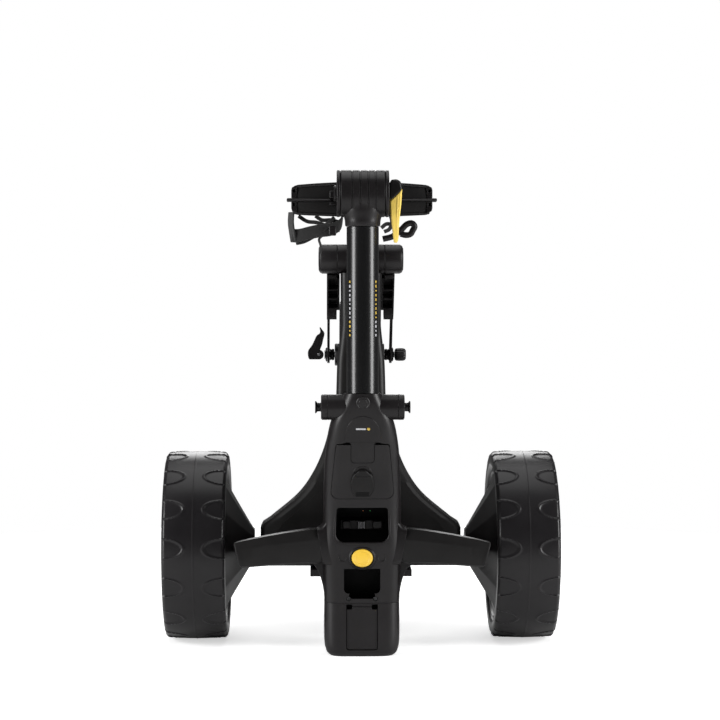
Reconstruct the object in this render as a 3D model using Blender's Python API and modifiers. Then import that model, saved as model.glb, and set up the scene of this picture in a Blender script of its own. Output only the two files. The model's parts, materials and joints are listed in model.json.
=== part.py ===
"""A motorised golf trolley, folded and standing on its tail.

Metres, +Z up. The bag side faces -Y. The origin is under the middle of the standing object.
Depths in the tables are measured from the rear axle line and shifted by AXLE_Y when placed.
"""
import math

import bmesh
import bpy
from mathutils import Matrix, Vector

# Driving dimensions.
WHEEL_RADIUS = 0.150
WHEEL_INNER_X = 0.210
WHEEL_OUTER_X = 0.3085
TUBE_DEPTH = -0.230          # depth of the main tube, tee and strap barrel
TUBE_RADIUS = 0.024
REAR_DEPTH = 0.157           # furthest point of the folded upper tube
TEE_Z = 0.7005
TEE_RADIUS = 0.035
AXLE_Y = (TEE_RADIUS - TUBE_DEPTH - REAR_DEPTH) / 2
AXLE_Z = WHEEL_RADIUS
STRAP_BARREL_Z = 0.3825
FORK_DEPTH, FORK_Z = -0.090, 0.606
KNUCKLE_HALF, KNUCKLE_RADIUS, PIN_BORE = 0.0366, 0.0230, 0.0068
FRONT_AXLE_DEPTH, FRONT_AXLE_Z = 0.028, 0.454
FRONT_RADIUS = 0.092
FRONT_HALF_WIDTH = 0.032
LEG_INNER, LEG_OUTER = 0.0330, 0.0528
GAP = 0.0003                 # between pieces that touch
RUN = 0.0005                 # round a shaft that turns

# Body stations: height, half width, front depth, back depth, front corner radius.
BODY_STATIONS = (
    (0.0823, 0.0575, -0.184, -0.100, 0.021),
    (0.1300, 0.0590, -0.189, -0.102, 0.021),
    (0.1700, 0.0600, -0.194, -0.104, 0.021),
    (0.2100, 0.0590, -0.198, -0.108, 0.022),
    (0.2500, 0.0585, -0.206, -0.116, 0.023),
    (0.2900, 0.0570, -0.220, -0.134, 0.025),
    (0.3250, 0.0540, -0.235, -0.152, 0.025),
    (0.3600, 0.0470, -0.246, -0.172, 0.023),
    (0.3850, 0.0350, -0.252, -0.190, 0.021),
    (0.4030, 0.0275, -0.254, -0.204, 0.020),
)
TAIL_STATIONS = (
    (0.0000, 0.0480, -0.179, -0.078, 0.018),
    (0.0060, 0.0540, -0.184, -0.072, 0.021),
    (0.0250, 0.0575, -0.185, -0.070, 0.022),
    (0.0820, 0.0575, -0.184, -0.070, 0.021),
)
# Chassis outline, right side: half width and height.
WING_OUTLINE = ((0.150, 0.1255), (0.157, 0.134), (0.157, 0.188), (0.142, 0.201), (0.099, 0.237),
                (0.075, 0.270), (0.058, 0.308), (0.047, 0.350), (0.038, 0.394))
WING_FRONT, WING_BACK = -0.095, -0.050
# Neck outline, right side: half width and height.
NECK_OUTLINE = ((0.0385, 0.3943), (0.0370, 0.445), (0.0345, 0.470), (0.0312, 0.505), (0.0318, 0.565), (0.0318, 0.585))
NECK_FRONT, NECK_BACK = -0.110, -0.070
WALL = 0.003
# Arm stations: distance from the middle, centre depth, half depth, low and high edge.
ARM_STATIONS = ((0.0612, -0.172, 0.020, 0.1420, 0.1950), (0.0900, -0.178, 0.019, 0.1425, 0.1935),
                (0.1300, -0.187, 0.017, 0.1415, 0.1880), (0.1650, -0.197, 0.015, 0.1405, 0.1825),
                (0.1850, -0.204, 0.013, 0.1395, 0.1780), (0.1940, -0.207, 0.010, 0.1440, 0.1740))
# Upper tube route: depth and height, over the front wheel and down behind it.
UPPER_ROUTE = ((-0.158, 0.7010), (-0.080, 0.7050), (0.000, 0.6980), (0.070, 0.6650), (0.118, 0.6050),
               (0.138, 0.5300), (0.142, 0.4540), (0.142, 0.3700), (0.136, 0.3100), (0.128, 0.2660))
UPPER_TUBE_RADIUS = 0.0148
HANDLE_DEPTH, HANDLE_Z = 0.118, 0.162

for old in list(bpy.data.objects):
    bpy.data.objects.remove(old, do_unlink=True)

parts = bpy.data.collections.new("golf_trolley")
cutters = bpy.data.collections.new("cutters")
for group in (parts, cutters):
    bpy.context.scene.collection.children.link(group)


def material(name, color, roughness, metallic=0.0):
    """A plain surface with one colour."""
    mat = bpy.data.materials.new(name)
    mat.use_nodes = True
    shader = mat.node_tree.nodes["Principled BSDF"]
    shader.inputs["Base Color"].default_value = (*color, 1.0)
    shader.inputs["Roughness"].default_value = roughness
    shader.inputs["Metallic"].default_value = metallic
    return mat


BLACK = material("black_plastic", (0.022, 0.021, 0.020), 0.45)
GLOSS = material("gloss_black_tube", (0.012, 0.012, 0.012), 0.12, 0.3)
YELLOW = material("yellow_plastic", (0.90, 0.58, 0.05), 0.35)
TYRE = material("tyre_rubber", (0.020, 0.019, 0.018), 0.55)
STEEL = material("dark_steel", (0.25, 0.25, 0.26), 0.35, 1.0)
GRIP = material("grip_rubber", (0.018, 0.018, 0.018), 0.75)
WEBBING = material("webbing", (0.020, 0.020, 0.020), 0.85)
GREY = material("grey_plastic", (0.28, 0.28, 0.29), 0.4)


def at(x, depth, z):
    """A point from its distance right of the middle, its depth and its height."""
    return Vector((x, AXLE_Y + depth, z))


def keep(obj, name, mat, group=parts):
    """Name an object, give it its material and put it in its collection."""
    obj.name = name
    obj.data.name = name
    for other in list(obj.users_collection):
        other.objects.unlink(obj)
    group.objects.link(obj)
    if mat:
        obj.data.materials.clear()
        obj.data.materials.append(mat)
    return obj


def smooth(obj, degrees=35):
    """Shade round faces smooth and keep the real edges."""
    obj.data.shade_smooth()
    obj.data.set_sharp_from_angle(angle=math.radians(degrees))
    return obj


def mesh_object(name, points, faces, mat, group=parts):
    """An object from points and faces that a function has worked out."""
    mesh = bpy.data.meshes.new(name)
    mesh.from_pydata([tuple(p) for p in points], [], faces)
    faces_out = bmesh.new()
    faces_out.from_mesh(mesh)
    bmesh.ops.recalc_face_normals(faces_out, faces=faces_out.faces)
    faces_out.to_mesh(mesh)
    faces_out.free()
    obj = bpy.data.objects.new(name, mesh)
    bpy.context.scene.collection.objects.link(obj)
    return keep(obj, name, mat, group)


def loft(name, rings, mat, group=parts):
    """A closed body through rings of equal length."""
    count = len(rings[0])
    points = [p for ring in rings for p in ring]
    faces = [tuple(reversed(range(count)))]
    for level in range(len(rings) - 1):
        low, high = level * count, (level + 1) * count
        for i in range(count):
            j = (i + 1) % count
            faces.append((low + i, low + j, high + j, high + i))
    faces.append(tuple(range((len(rings) - 1) * count, len(rings) * count)))
    return mesh_object(name, points, faces, mat, group)


def block(name, low, high, mat, bevel=0.0, group=parts):
    """A box between two corners given as (x, depth, z), with rounded edges."""
    size = [h - l for l, h in zip(low, high)]
    middle = [(h + l) / 2 for l, h in zip(low, high)]
    bpy.ops.mesh.primitive_cube_add(size=1)
    obj = keep(bpy.context.object, name, mat, group)
    obj.data.transform(Matrix.Diagonal((*size, 1.0)))
    obj.location = at(*middle)
    if bevel:
        edge = obj.modifiers.new("rounded_edges", "BEVEL")
        edge.width = bevel
        edge.segments = 2
        edge.limit_method = "ANGLE"
    return obj


AXES = {"X": (0, math.pi / 2, 0), "Y": (-math.pi / 2, 0, 0), "Z": (0, 0, 0)}


def rod(name, start, length, radius, mat, axis="X", sides=20, group=parts):
    """A cylinder that runs from its start point along an axis."""
    bpy.ops.mesh.primitive_cylinder_add(vertices=sides, radius=radius, depth=length)
    obj = keep(bpy.context.object, name, mat, group)
    obj.rotation_euler = AXES[axis]
    step = {"X": (length / 2, 0, 0), "Y": (0, length / 2, 0), "Z": (0, 0, length / 2)}[axis]
    obj.location = at(*(s + d for s, d in zip(start, step)))
    return smooth(obj)


def turned(name, profile, centre, mat, axis="X", steps=24, group=parts):
    """A turned body. The profile is (radius, position along the axis), down its outer side."""
    closed = profile[0][0] > 0 and profile[-1][0] > 0
    count = len(profile)
    edges = [(i, i + 1) for i in range(count - 1)] + ([(count - 1, 0)] if closed else [])
    mesh = bpy.data.meshes.new(name)
    mesh.from_pydata([(radius, 0, height) for radius, height in profile], edges, [])
    obj = bpy.data.objects.new(name, mesh)
    bpy.context.scene.collection.objects.link(obj)
    keep(obj, name, mat, group)
    obj.rotation_euler = AXES[axis]
    obj.location = at(*centre)
    screw = obj.modifiers.new("turn", "SCREW")
    screw.steps = steps
    screw.render_steps = steps
    screw.use_merge_vertices = True
    screw.merge_threshold = 0.00001
    screw.use_smooth_shade = True
    return obj


def sleeve(name, start, length, radius, bore, mat, axis="X", steps=24, bevel=0.0015):
    """A tube with a bore, from its start point along an axis, with eased outer rims."""
    profile = [(radius - bevel, length), (radius, length - bevel), (radius, bevel),
               (radius - bevel, 0), (bore, 0), (bore, length)]
    return turned(name, profile, start, mat, axis, steps)


def outline(name, points, low, high, mat, plane="XZ", group=parts):
    """A flat outline given a thickness. XZ outlines run along depth, YZ outlines along x."""
    ring_points = []
    for level in (low, high):
        if plane == "XZ":
            ring_points.append([at(a, level, b) for a, b in points])
        else:
            ring_points.append([at(level, a, b) for a, b in points])
    return loft(name, ring_points, mat, group)


def boolean(target, cutter, operation="DIFFERENCE"):
    """Cut, join or intersect with an object from the cutters' collection."""
    step = target.modifiers.new(operation.lower(), "BOOLEAN")
    step.operation = operation
    step.object = cutter
    step.solver = "EXACT"
    cutter.hide_render = True
    cutter.display_type = "WIRE"
    return target


def arc(centre_a, centre_b, radius, start, stop, count):
    """Points on an arc, in degrees."""
    angles = [math.radians(start + (stop - start) * i / (count - 1)) for i in range(count)]
    return [(centre_a + radius * math.cos(t), centre_b + radius * math.sin(t)) for t in angles]


def rounded(half_width, low, high, radius, count=4):
    """A rectangle outline with round corners, about the middle, turning left."""
    corners = ((half_width - radius, high - radius, 0), (radius - half_width, high - radius, 90),
               (radius - half_width, low + radius, 180), (half_width - radius, low + radius, 270))
    points = []
    for a, b, start in corners:
        points += arc(a, b, radius, start, start + 90, count)
    return points


def body_ring(station, inset=0.0, back_extra=0.0):
    """A level section of the body: round front corners, nearly square back ones."""
    z, half, front, back, corner = station
    half, front, back = half - inset, front + inset, back - inset + back_extra
    corner = max(corner - inset, 0.004)
    small = 0.005
    points = arc(half - corner, front + corner, corner, 0, -90, 5)
    points += arc(corner - half, front + corner, corner, -90, -180, 5)
    points += arc(small - half, back - small, small, 180, 90, 3)
    points += arc(half - small, back - small, small, 90, 0, 3)
    return [at(x, depth, z) for x, depth in points]


def body_at(z):
    """Half width and back depth of the body at a height between its stations."""
    for low, high in zip(BODY_STATIONS, BODY_STATIONS[1:]):
        if low[0] <= z <= high[0]:
            share = (z - low[0]) / (high[0] - low[0])
            return low[1] + (high[1] - low[1]) * share, low[3] + (high[3] - low[3]) * share


def body_solid(name, stations, inset=0.0, back_extra=0.0, mat=BLACK, group=parts):
    """The body's outer form, or a copy set in from it."""
    return loft(name, [body_ring(s, inset, back_extra) for s in stations], mat, group)


BUTTON_Z, BUTTON_RADIUS, BUTTON_BORE = 0.1520, 0.0136, 0.0153
THROAT_TOP = 0.1350
DOOR_TOP, DOOR_BOTTOM = 0.327, 0.243
DOOR_TAB_HALF, DOOR_TAB_BOTTOM = 0.018, 0.298


def door_outline(grow=0.0):
    """The battery door: wider at the foot, with a notch for the tab at its top."""
    top, foot = 0.040 + grow, 0.047 + grow
    low, high = DOOR_BOTTOM - grow, DOOR_TOP + grow
    tab, tab_low = DOOR_TAB_HALF - grow, DOOR_TAB_BOTTOM + grow
    radius = 0.010
    right = [(tab, tab_low), (tab, high), (top, high)]
    foot_corner = arc(foot - radius, low + radius, radius, 0, -90, 4)
    right += foot_corner
    return right + [(-x, z) for x, z in reversed(right)]


def make_body():
    """Body shell with its three openings, back cover, door, latch and what is inside."""
    inner = [(s[0] + (WALL if i == 0 else -WALL if i == len(BODY_STATIONS) - 1 else 0), *s[1:])
             for i, s in enumerate(BODY_STATIONS)]
    shell = body_solid("body_shell", BODY_STATIONS)
    hollow = body_solid("body_hollow", inner, WALL, 0.020, None, cutters)
    boolean(shell, hollow)
    door_hole = outline("door_hole", door_outline(0.0006), -0.270, -0.175, None, group=cutters)
    boolean(shell, door_hole)
    window = rounded(0.040, 0.176, 0.229, 0.008)
    boolean(shell, outline("window_hole", window, -0.230, -0.170, None, group=cutters))
    throat = [(0.0276, THROAT_TOP), (-0.0276, THROAT_TOP)] + arc(-0.0126, 0.103, 0.015, 180, 270, 5)
    throat += arc(0.0126, 0.103, 0.015, 270, 360, 5)
    boolean(shell, outline("throat_hole", throat, -0.230, -0.170, None, group=cutters))
    boolean(shell, rod("button_bore", (0, -0.230, BUTTON_Z), 0.060, BUTTON_BORE, None, "Y", 24, cutters))

    rings = []
    for z in (0.088, 0.130, 0.170, 0.210, 0.250, 0.290, 0.325, 0.360):
        half, back = body_at(z)
        rings.append([at(x, depth, z) for x, depth in ((half - 0.006, back - 0.0005), (0.006 - half, back - 0.0005),
                                                       (0.006 - half, back - 0.0035), (half - 0.006, back - 0.0035))])
    loft("body_back_cover", rings, BLACK)

    door = body_solid("battery_door", BODY_STATIONS[3:9], -0.0004)
    boolean(door, body_solid("door_inside", [BODY_STATIONS[2]] + list(BODY_STATIONS[3:9]) + [BODY_STATIONS[9]],
                             0.0024, 0.030, None, cutters))
    boolean(door, outline("door_edge", door_outline(), -0.270, -0.172, None, group=cutters), "INTERSECT")

    lean = math.atan2(0.014, 0.040)
    latch = block("door_latch", (-0.0175, -0.0040, -0.022), (0.0175, 0.0, 0.022), BLACK, 0.0012)
    latch.location = at(0, -0.2152, 0.2665)
    latch.rotation_euler = (lean, 0, 0)
    block("power_socket", (-0.034, -0.150, 0.192), (0.034, -0.128, 0.214), GREY, 0.002)
    block("control_board", (-0.040, -0.1240, 0.1850), (0.040, -0.1220, 0.2350), GREY)


def make_button():
    """Yellow release button, its ring and its return spring."""
    face = -0.1925
    sleeve("button_ring", (0, face - 0.0035, BUTTON_Z), 0.0080, BUTTON_BORE - GAP, BUTTON_RADIUS + RUN, BLACK, "Y", 28,
           0.0004)
    turned("release_button", [(0, 0.010), (BUTTON_RADIUS, 0.010), (BUTTON_RADIUS, 0.002), (BUTTON_RADIUS - 0.0015, 0), (0, 0)],
           (0, face - 0.0065, BUTTON_Z), YELLOW, "Y", 28)
    wire, coil, turns, per_turn = 0.0008, 0.0080, 5, 10
    length = 0.020
    curve = bpy.data.curves.new("button_spring", "CURVE")
    curve.dimensions = "3D"
    curve.bevel_depth = wire
    curve.bevel_resolution = 1
    curve.use_fill_caps = True
    line = curve.splines.new("POLY")
    line.points.add(turns * per_turn)
    for i, point in enumerate(line.points):
        turn = 2 * math.pi * i / per_turn
        depth = face + 0.0082 + length * i / (turns * per_turn)
        point.co = (*at(coil * math.cos(turn), depth, BUTTON_Z + coil * math.sin(turn)), 1)
    obj = bpy.data.objects.new("button_spring", curve)
    bpy.context.scene.collection.objects.link(obj)
    keep(obj, "button_spring", STEEL)


def make_tail():
    """Tail box that the folded trolley stands on, its cover panel and two screws."""
    box = body_solid("tail_box", TAIL_STATIONS)
    recess = -0.1805
    inner = [(z, half, front + WALL, back, radius) for z, (_, half, front, back, radius)
             in ((0.004, TAIL_STATIONS[1]), (0.090, TAIL_STATIONS[3]))]
    boolean(box, body_solid("tail_hollow", inner, WALL, 0.0, None, cutters))
    boolean(box, block("tail_recess", (-0.0238, -0.250, 0.0105), (0.0238, recess, 0.0765), None, 0, cutters))
    block("tail_cover", (-0.0235, recess - GAP - 0.0025, 0.0110), (0.0235, recess - GAP, 0.0760), BLACK, 0.0005)
    for side, name in ((-1, "left"), (1, "right")):
        boolean(bpy.data.objects["body_shell"],
                rod("screw_hole_" + name, (side * 0.0205, -0.195, 0.0885), 0.014, 0.0034, None, "Y", 12, cutters))


def make_arms():
    """Two lower bag-rest arms that reach out and forward from the body."""
    for side, name in ((-1, "left"), (1, "right")):
        rings = []
        for x, depth, half_depth, low, high in ARM_STATIONS:
            corner = half_depth * 0.45
            ring = [(a + depth, b) for a, b in rounded(half_depth, low, high, corner, 3)]
            rings.append([at(side * x, a, b) for a, b in ring])
        smooth(loft("bag_rest_arm_" + name, rings, BLACK), 40)


def make_tube_and_tee():
    """Main tube, tee head, pivot bolt, cam hub and cam lever."""
    tube_low, tube_high = STRAP_BARREL_Z + 0.0210, TEE_Z - TEE_RADIUS - 0.0145
    sleeve("main_tube", (0, TUBE_DEPTH, tube_low), tube_high - tube_low, TUBE_RADIUS, TUBE_RADIUS - 0.002,
           GLOSS, "Z", 32, 0.0005)
    head = turned("tee_head", [(0.0335, 0.0335), (TEE_RADIUS, 0.032), (TEE_RADIUS, -0.032), (0.0335, -0.0335),
                               (0.0083, -0.0335), (0.0083, 0.0335)], (0, TUBE_DEPTH, TEE_Z), BLACK, "X", 28)
    neck = turned("tee_neck", [(0, 0.042), (0.032, 0.042), (0.0320, 0.022), (0.0285, 0.010), (0.0270, 0), (0, 0)],
                  (0, TUBE_DEPTH, tube_high + GAP), None, "Z", 24, cutters)
    boolean(head, neck, "UNION")
    boolean(head, rod("tee_bore", (-0.040, TUBE_DEPTH, TEE_Z), 0.080, 0.0083, None, "X", 24, cutters))
    rod("tee_pivot_bolt", (-0.0420, TUBE_DEPTH, TEE_Z), 0.0840 - 0.0035, 0.0078, STEEL)
    pivot_z = TEE_Z + 0.012
    hub = arc(0.0487, pivot_z, 0.0094, 180, 0, 9) + arc(0.0487, pivot_z - 0.0145, 0.0094, 0, -180, 9)
    outline("cam_hub", hub, TUBE_DEPTH - 0.0015, TUBE_DEPTH + 0.0150, BLACK)
    lever = [(0.0397, pivot_z - 0.004), (0.0400, 0.672), (0.0440, 0.640), (0.0490, 0.6262), (0.0525, 0.6262),
             (0.0560, 0.640), (0.0578, 0.672), (0.0578, pivot_z - 0.004)]
    blade = outline("cam_lever", lever, TUBE_DEPTH - 0.0105, TUBE_DEPTH - 0.0020, YELLOW)
    edge = blade.modifiers.new("rounded_edges", "BEVEL")
    edge.width = 0.0018
    edge.segments = 2
    edge.limit_method = "ANGLE"


def make_strap_barrel():
    """Cross barrel at the foot of the tube, with end caps and strap lugs."""
    for side, name in ((-1, "left"), (1, "right")):
        turned("strap_barrel_" + name, [(0, 0.0260), (0.0185, 0.0260), (0.0190, 0.0255), (0.0190, 0), (0, 0)]
               if side > 0 else [(0, 0), (0.0190, 0), (0.0190, -0.0255), (0.0185, -0.0260), (0, -0.0260)],
               (side * 0.0265, TUBE_DEPTH, STRAP_BARREL_Z), BLACK, "X", 24)
        boolean(bpy.data.objects["strap_barrel_" + name],
                body_solid("barrel_trim_" + name, BODY_STATIONS[6:], -GAP, 0.0, None, cutters))
        profile = [(0, 0.0183), (0.0092, 0.0183), (0.0092, 0.0171), (0.0068, 0.0153), (0.0068, 0.0095),
                   (0.0180, 0.0095), (0.0192, 0.0083), (0.0192, 0), (0, 0)]
        if side < 0:
            profile = [(r, -h) for r, h in reversed(profile)]
        turned("barrel_cap_" + name, profile, (side * 0.0528, TUBE_DEPTH, STRAP_BARREL_Z), BLACK, "X", 20)


def make_fold_ears():
    """Two ears that run under the chassis and carry the body on the rear axle."""
    for side, name in ((-1, "left"), (1, "right")):
        ring = [(-0.105, 0.112), (-0.012, 0.112)] + arc(0, AXLE_Z, 0.018, -50, 180, 10) + [(-0.018, 0.122), (-0.105, 0.122)]
        low, high = sorted((side * 0.0592, side * 0.0790))
        ear = outline("fold_ear_" + name, ring, low, high, BLACK, "YZ")
        boolean(ear, rod("ear_bore_" + name, (low - 0.01, 0, AXLE_Z), 0.04, 0.008 + RUN, None, "X", 20, cutters))


def wing_ring(inset=0.0):
    """The chassis outline, both sides."""
    right = [(max(x - inset, 0.002), z + (inset if i < 2 else -inset * 0.4)) for i, (x, z) in enumerate(WING_OUTLINE)]
    return right + [(-x, z) for x, z in reversed(right)]


def make_chassis():
    """Flared chassis shell, its back cover, neck, knuckle, axle, motors and gearboxes."""
    shell = outline("chassis_shell", wing_ring(), WING_FRONT, WING_BACK, BLACK)
    boolean(shell, outline("chassis_hollow", wing_ring(WALL), WING_FRONT + WALL, WING_BACK + 0.01, None, group=cutters))
    outline("chassis_back_cover", wing_ring(WALL + GAP), WING_BACK - 0.0035, WING_BACK - 0.0005, BLACK)
    neck = list(NECK_OUTLINE) + [(-half, z) for half, z in reversed(NECK_OUTLINE)]
    beam = outline("neck_beam", neck, NECK_FRONT, NECK_BACK, BLACK)
    edge = beam.modifiers.new("rounded_edges", "BEVEL")
    edge.width = 0.006
    edge.segments = 2
    edge.limit_method = "ANGLE"
    boolean(beam, rod("neck_trim", (-0.05, FORK_DEPTH, FORK_Z), 0.10, KNUCKLE_RADIUS + GAP, None, "X", 32, cutters))
    sleeve("neck_knuckle", (-KNUCKLE_HALF, FORK_DEPTH, FORK_Z), 2 * KNUCKLE_HALF, KNUCKLE_RADIUS, PIN_BORE, BLACK,
           steps=28)
    rod("rear_axle", (-0.3010, 0, AXLE_Z), 0.6020, 0.0080, STEEL)
    for side, name in ((-1, "left"), (1, "right")):
        low, high = sorted((side * 0.0840, side * 0.1480))
        box = block("gearbox_" + name, (low, WING_BACK + GAP, 0.1270), (high, 0.0250, 0.1760), BLACK, 0.004)
        boolean(box, rod("gearbox_bore_" + name, (low - 0.01, 0, AXLE_Z), 0.09, 0.0080 + GAP, None, "X", 20, cutters))
        start = 0.030 if side > 0 else -0.120
        rod("drive_motor_" + name, (start, -0.0725, 0.1520), 0.090, 0.0170, STEEL)


def make_rear_wheels():
    """Tyre, hub and hub cap on each end of the axle. The hubs are cones on their inner sides."""
    width = WHEEL_OUTER_X - WHEEL_INNER_X
    tyre = [(0.1400, width), (0.1465, width - 0.008), (WHEEL_RADIUS, width / 2 + 0.012), (WHEEL_RADIUS, width / 2 - 0.012),
            (0.1465, 0.008), (0.1400, 0), (0.1260, 0), (0.1210, 0.008), (0.1210, width - 0.008), (0.1260, width)]
    hub = [(0.1205, width - 0.010), (0.1205, 0.010), (0.1050, 0.004), (0.0270, -0.0420), (0.0085, -0.0420),
           (0.0085, 0.0300), (0.0200, 0.0300), (0.0240, -0.0340), (0.1010, 0.0100), (0.1145, 0.0160),
           (0.1145, width - 0.010)]
    for side, name in ((-1, "left"), (1, "right")):
        for part, profile, mat, steps in (("rear_tyre_", tyre, TYRE, 40), ("rear_hub_", hub, BLACK, 20)):
            shape = [(r, -h) for r, h in reversed(profile)] if side < 0 else profile
            if side < 0 and profile[0][0] > 0:
                shape = shape[-1:] + shape[:-1]
            turned(part + name, shape, (side * WHEEL_INNER_X, 0, AXLE_Z), mat, "X", steps)


def along_fork(distance, offset):
    """Depth and height of a point down the fork from its hinge, offset to the fork's far side."""
    run = Vector((FRONT_AXLE_DEPTH - FORK_DEPTH, FRONT_AXLE_Z - FORK_Z)).normalized()
    side = Vector((-run.y, run.x))
    spot = Vector((FORK_DEPTH, FORK_Z)) + run * distance + side * offset
    return spot.x, spot.y


def make_fork():
    """Hinge pin, two legs that narrow to plates, axle with its quick release and nut, and the front wheel."""
    reach = math.hypot(FRONT_AXLE_DEPTH - FORK_DEPTH, FRONT_AXLE_Z - FORK_Z)
    rod("fork_hinge_pin", (-0.0640, FORK_DEPTH, FORK_Z), 0.1280, 0.0063, STEEL)
    for side, name in ((-1, "left"), (1, "right")):
        low, high = sorted((side * 0.0370, side * 0.0660))
        leg = sleeve("fork_leg_" + name, (low, FORK_DEPTH, FORK_Z), high - low, KNUCKLE_RADIUS, PIN_BORE, BLACK,
                     steps=28, bevel=0.003)
        ring = [along_fork(0.015, -0.016), along_fork(0.015, 0.016), along_fork(0.095, 0.015), along_fork(0.112, 0.008),
                along_fork(0.112, -0.008), along_fork(0.095, -0.015)]
        low, high = sorted((side * 0.0371, side * LEG_OUTER))
        boolean(leg, outline("fork_arm_" + name, ring, low, high, None, "YZ", cutters), "UNION")
        rail = [along_fork(*corner) for corner in ((0.0268, -0.0152), (0.0268, 0.0152), (0.0960, 0.0142), (0.0960, -0.0142))]
        low, high = sorted((side * LEG_INNER, side * 0.0450))
        boolean(leg, outline("fork_rail_" + name, rail, low, high, None, "YZ", cutters), "UNION")
        plate = [along_fork(0.100, -0.0075), along_fork(0.100, 0.0075)]
        turn = math.degrees(math.atan2(FRONT_AXLE_Z - FORK_Z, FRONT_AXLE_DEPTH - FORK_DEPTH))
        plate += list(reversed(arc(*along_fork(reach, 0), 0.0140, turn - 90, turn + 90, 9)))
        low, high = sorted((side * 0.0480, side * 0.0520))
        boolean(leg, outline("fork_plate_" + name, plate, low, high, None, "YZ", cutters), "UNION")
        boolean(leg, rod("plate_bore_" + name, (low - 0.01, FRONT_AXLE_DEPTH, FRONT_AXLE_Z), 0.03, 0.0050 + GAP, None,
                         "X", 16, cutters))
    rod("front_axle", (-0.0560, FRONT_AXLE_DEPTH, FRONT_AXLE_Z), 0.1125, 0.0050, STEEL, sides=16)
    turned("axle_nut", [(0, 0.0180), (0.0080, 0.0180), (0.0100, 0.0150), (0.0100, 0.0030), (0.0080, 0), (0, 0)],
           (0.0570, FRONT_AXLE_DEPTH, FRONT_AXLE_Z), BLACK, "X", 16)
    lever = arc(-0.0655, FRONT_AXLE_Z, 0.0080, -90, 80, 7)
    lever += [(a, FRONT_AXLE_Z + b) for a, b in ((-0.0600, 0.016), (-0.0562, 0.034), (-0.0628, 0.0445), (-0.0645, 0.0435),
                                                 (-0.0632, 0.0360), (-0.0695, 0.0300), (-0.0760, 0.0160),
                                                 (-0.0832, 0.0060), (-0.0815, -0.0085))]
    outline("quick_release_lever", lever, FRONT_AXLE_DEPTH - 0.008, FRONT_AXLE_DEPTH + 0.008, BLACK)
    half, radius = FRONT_HALF_WIDTH, FRONT_RADIUS
    tyre = [(radius - 0.008, half), (radius - 0.002, half - 0.006), (radius, half - 0.018), (radius, 0.018 - half),
            (radius - 0.002, 0.006 - half), (radius - 0.008, -half), (0.0700, -half), (0.0640, 0.005 - half),
            (0.0640, half - 0.005), (0.0700, half)]
    hub = [(0.0635, half - 0.007), (0.0635, 0.007 - half), (0.0590, 0.007 - half), (0.0570, -0.006), (0.0180, -0.008),
           (0.0180, -half - 0.008), (0.0055, -half - 0.008), (0.0055, half + 0.008), (0.0180, half + 0.008),
           (0.0180, 0.008), (0.0570, 0.006), (0.0590, half - 0.007)]
    turned("front_tyre", tyre, (0, FRONT_AXLE_DEPTH, FRONT_AXLE_Z), TYRE, "X", 32)
    turned("front_hub", hub, (0, FRONT_AXLE_DEPTH, FRONT_AXLE_Z), BLACK, "X", 20)


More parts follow.
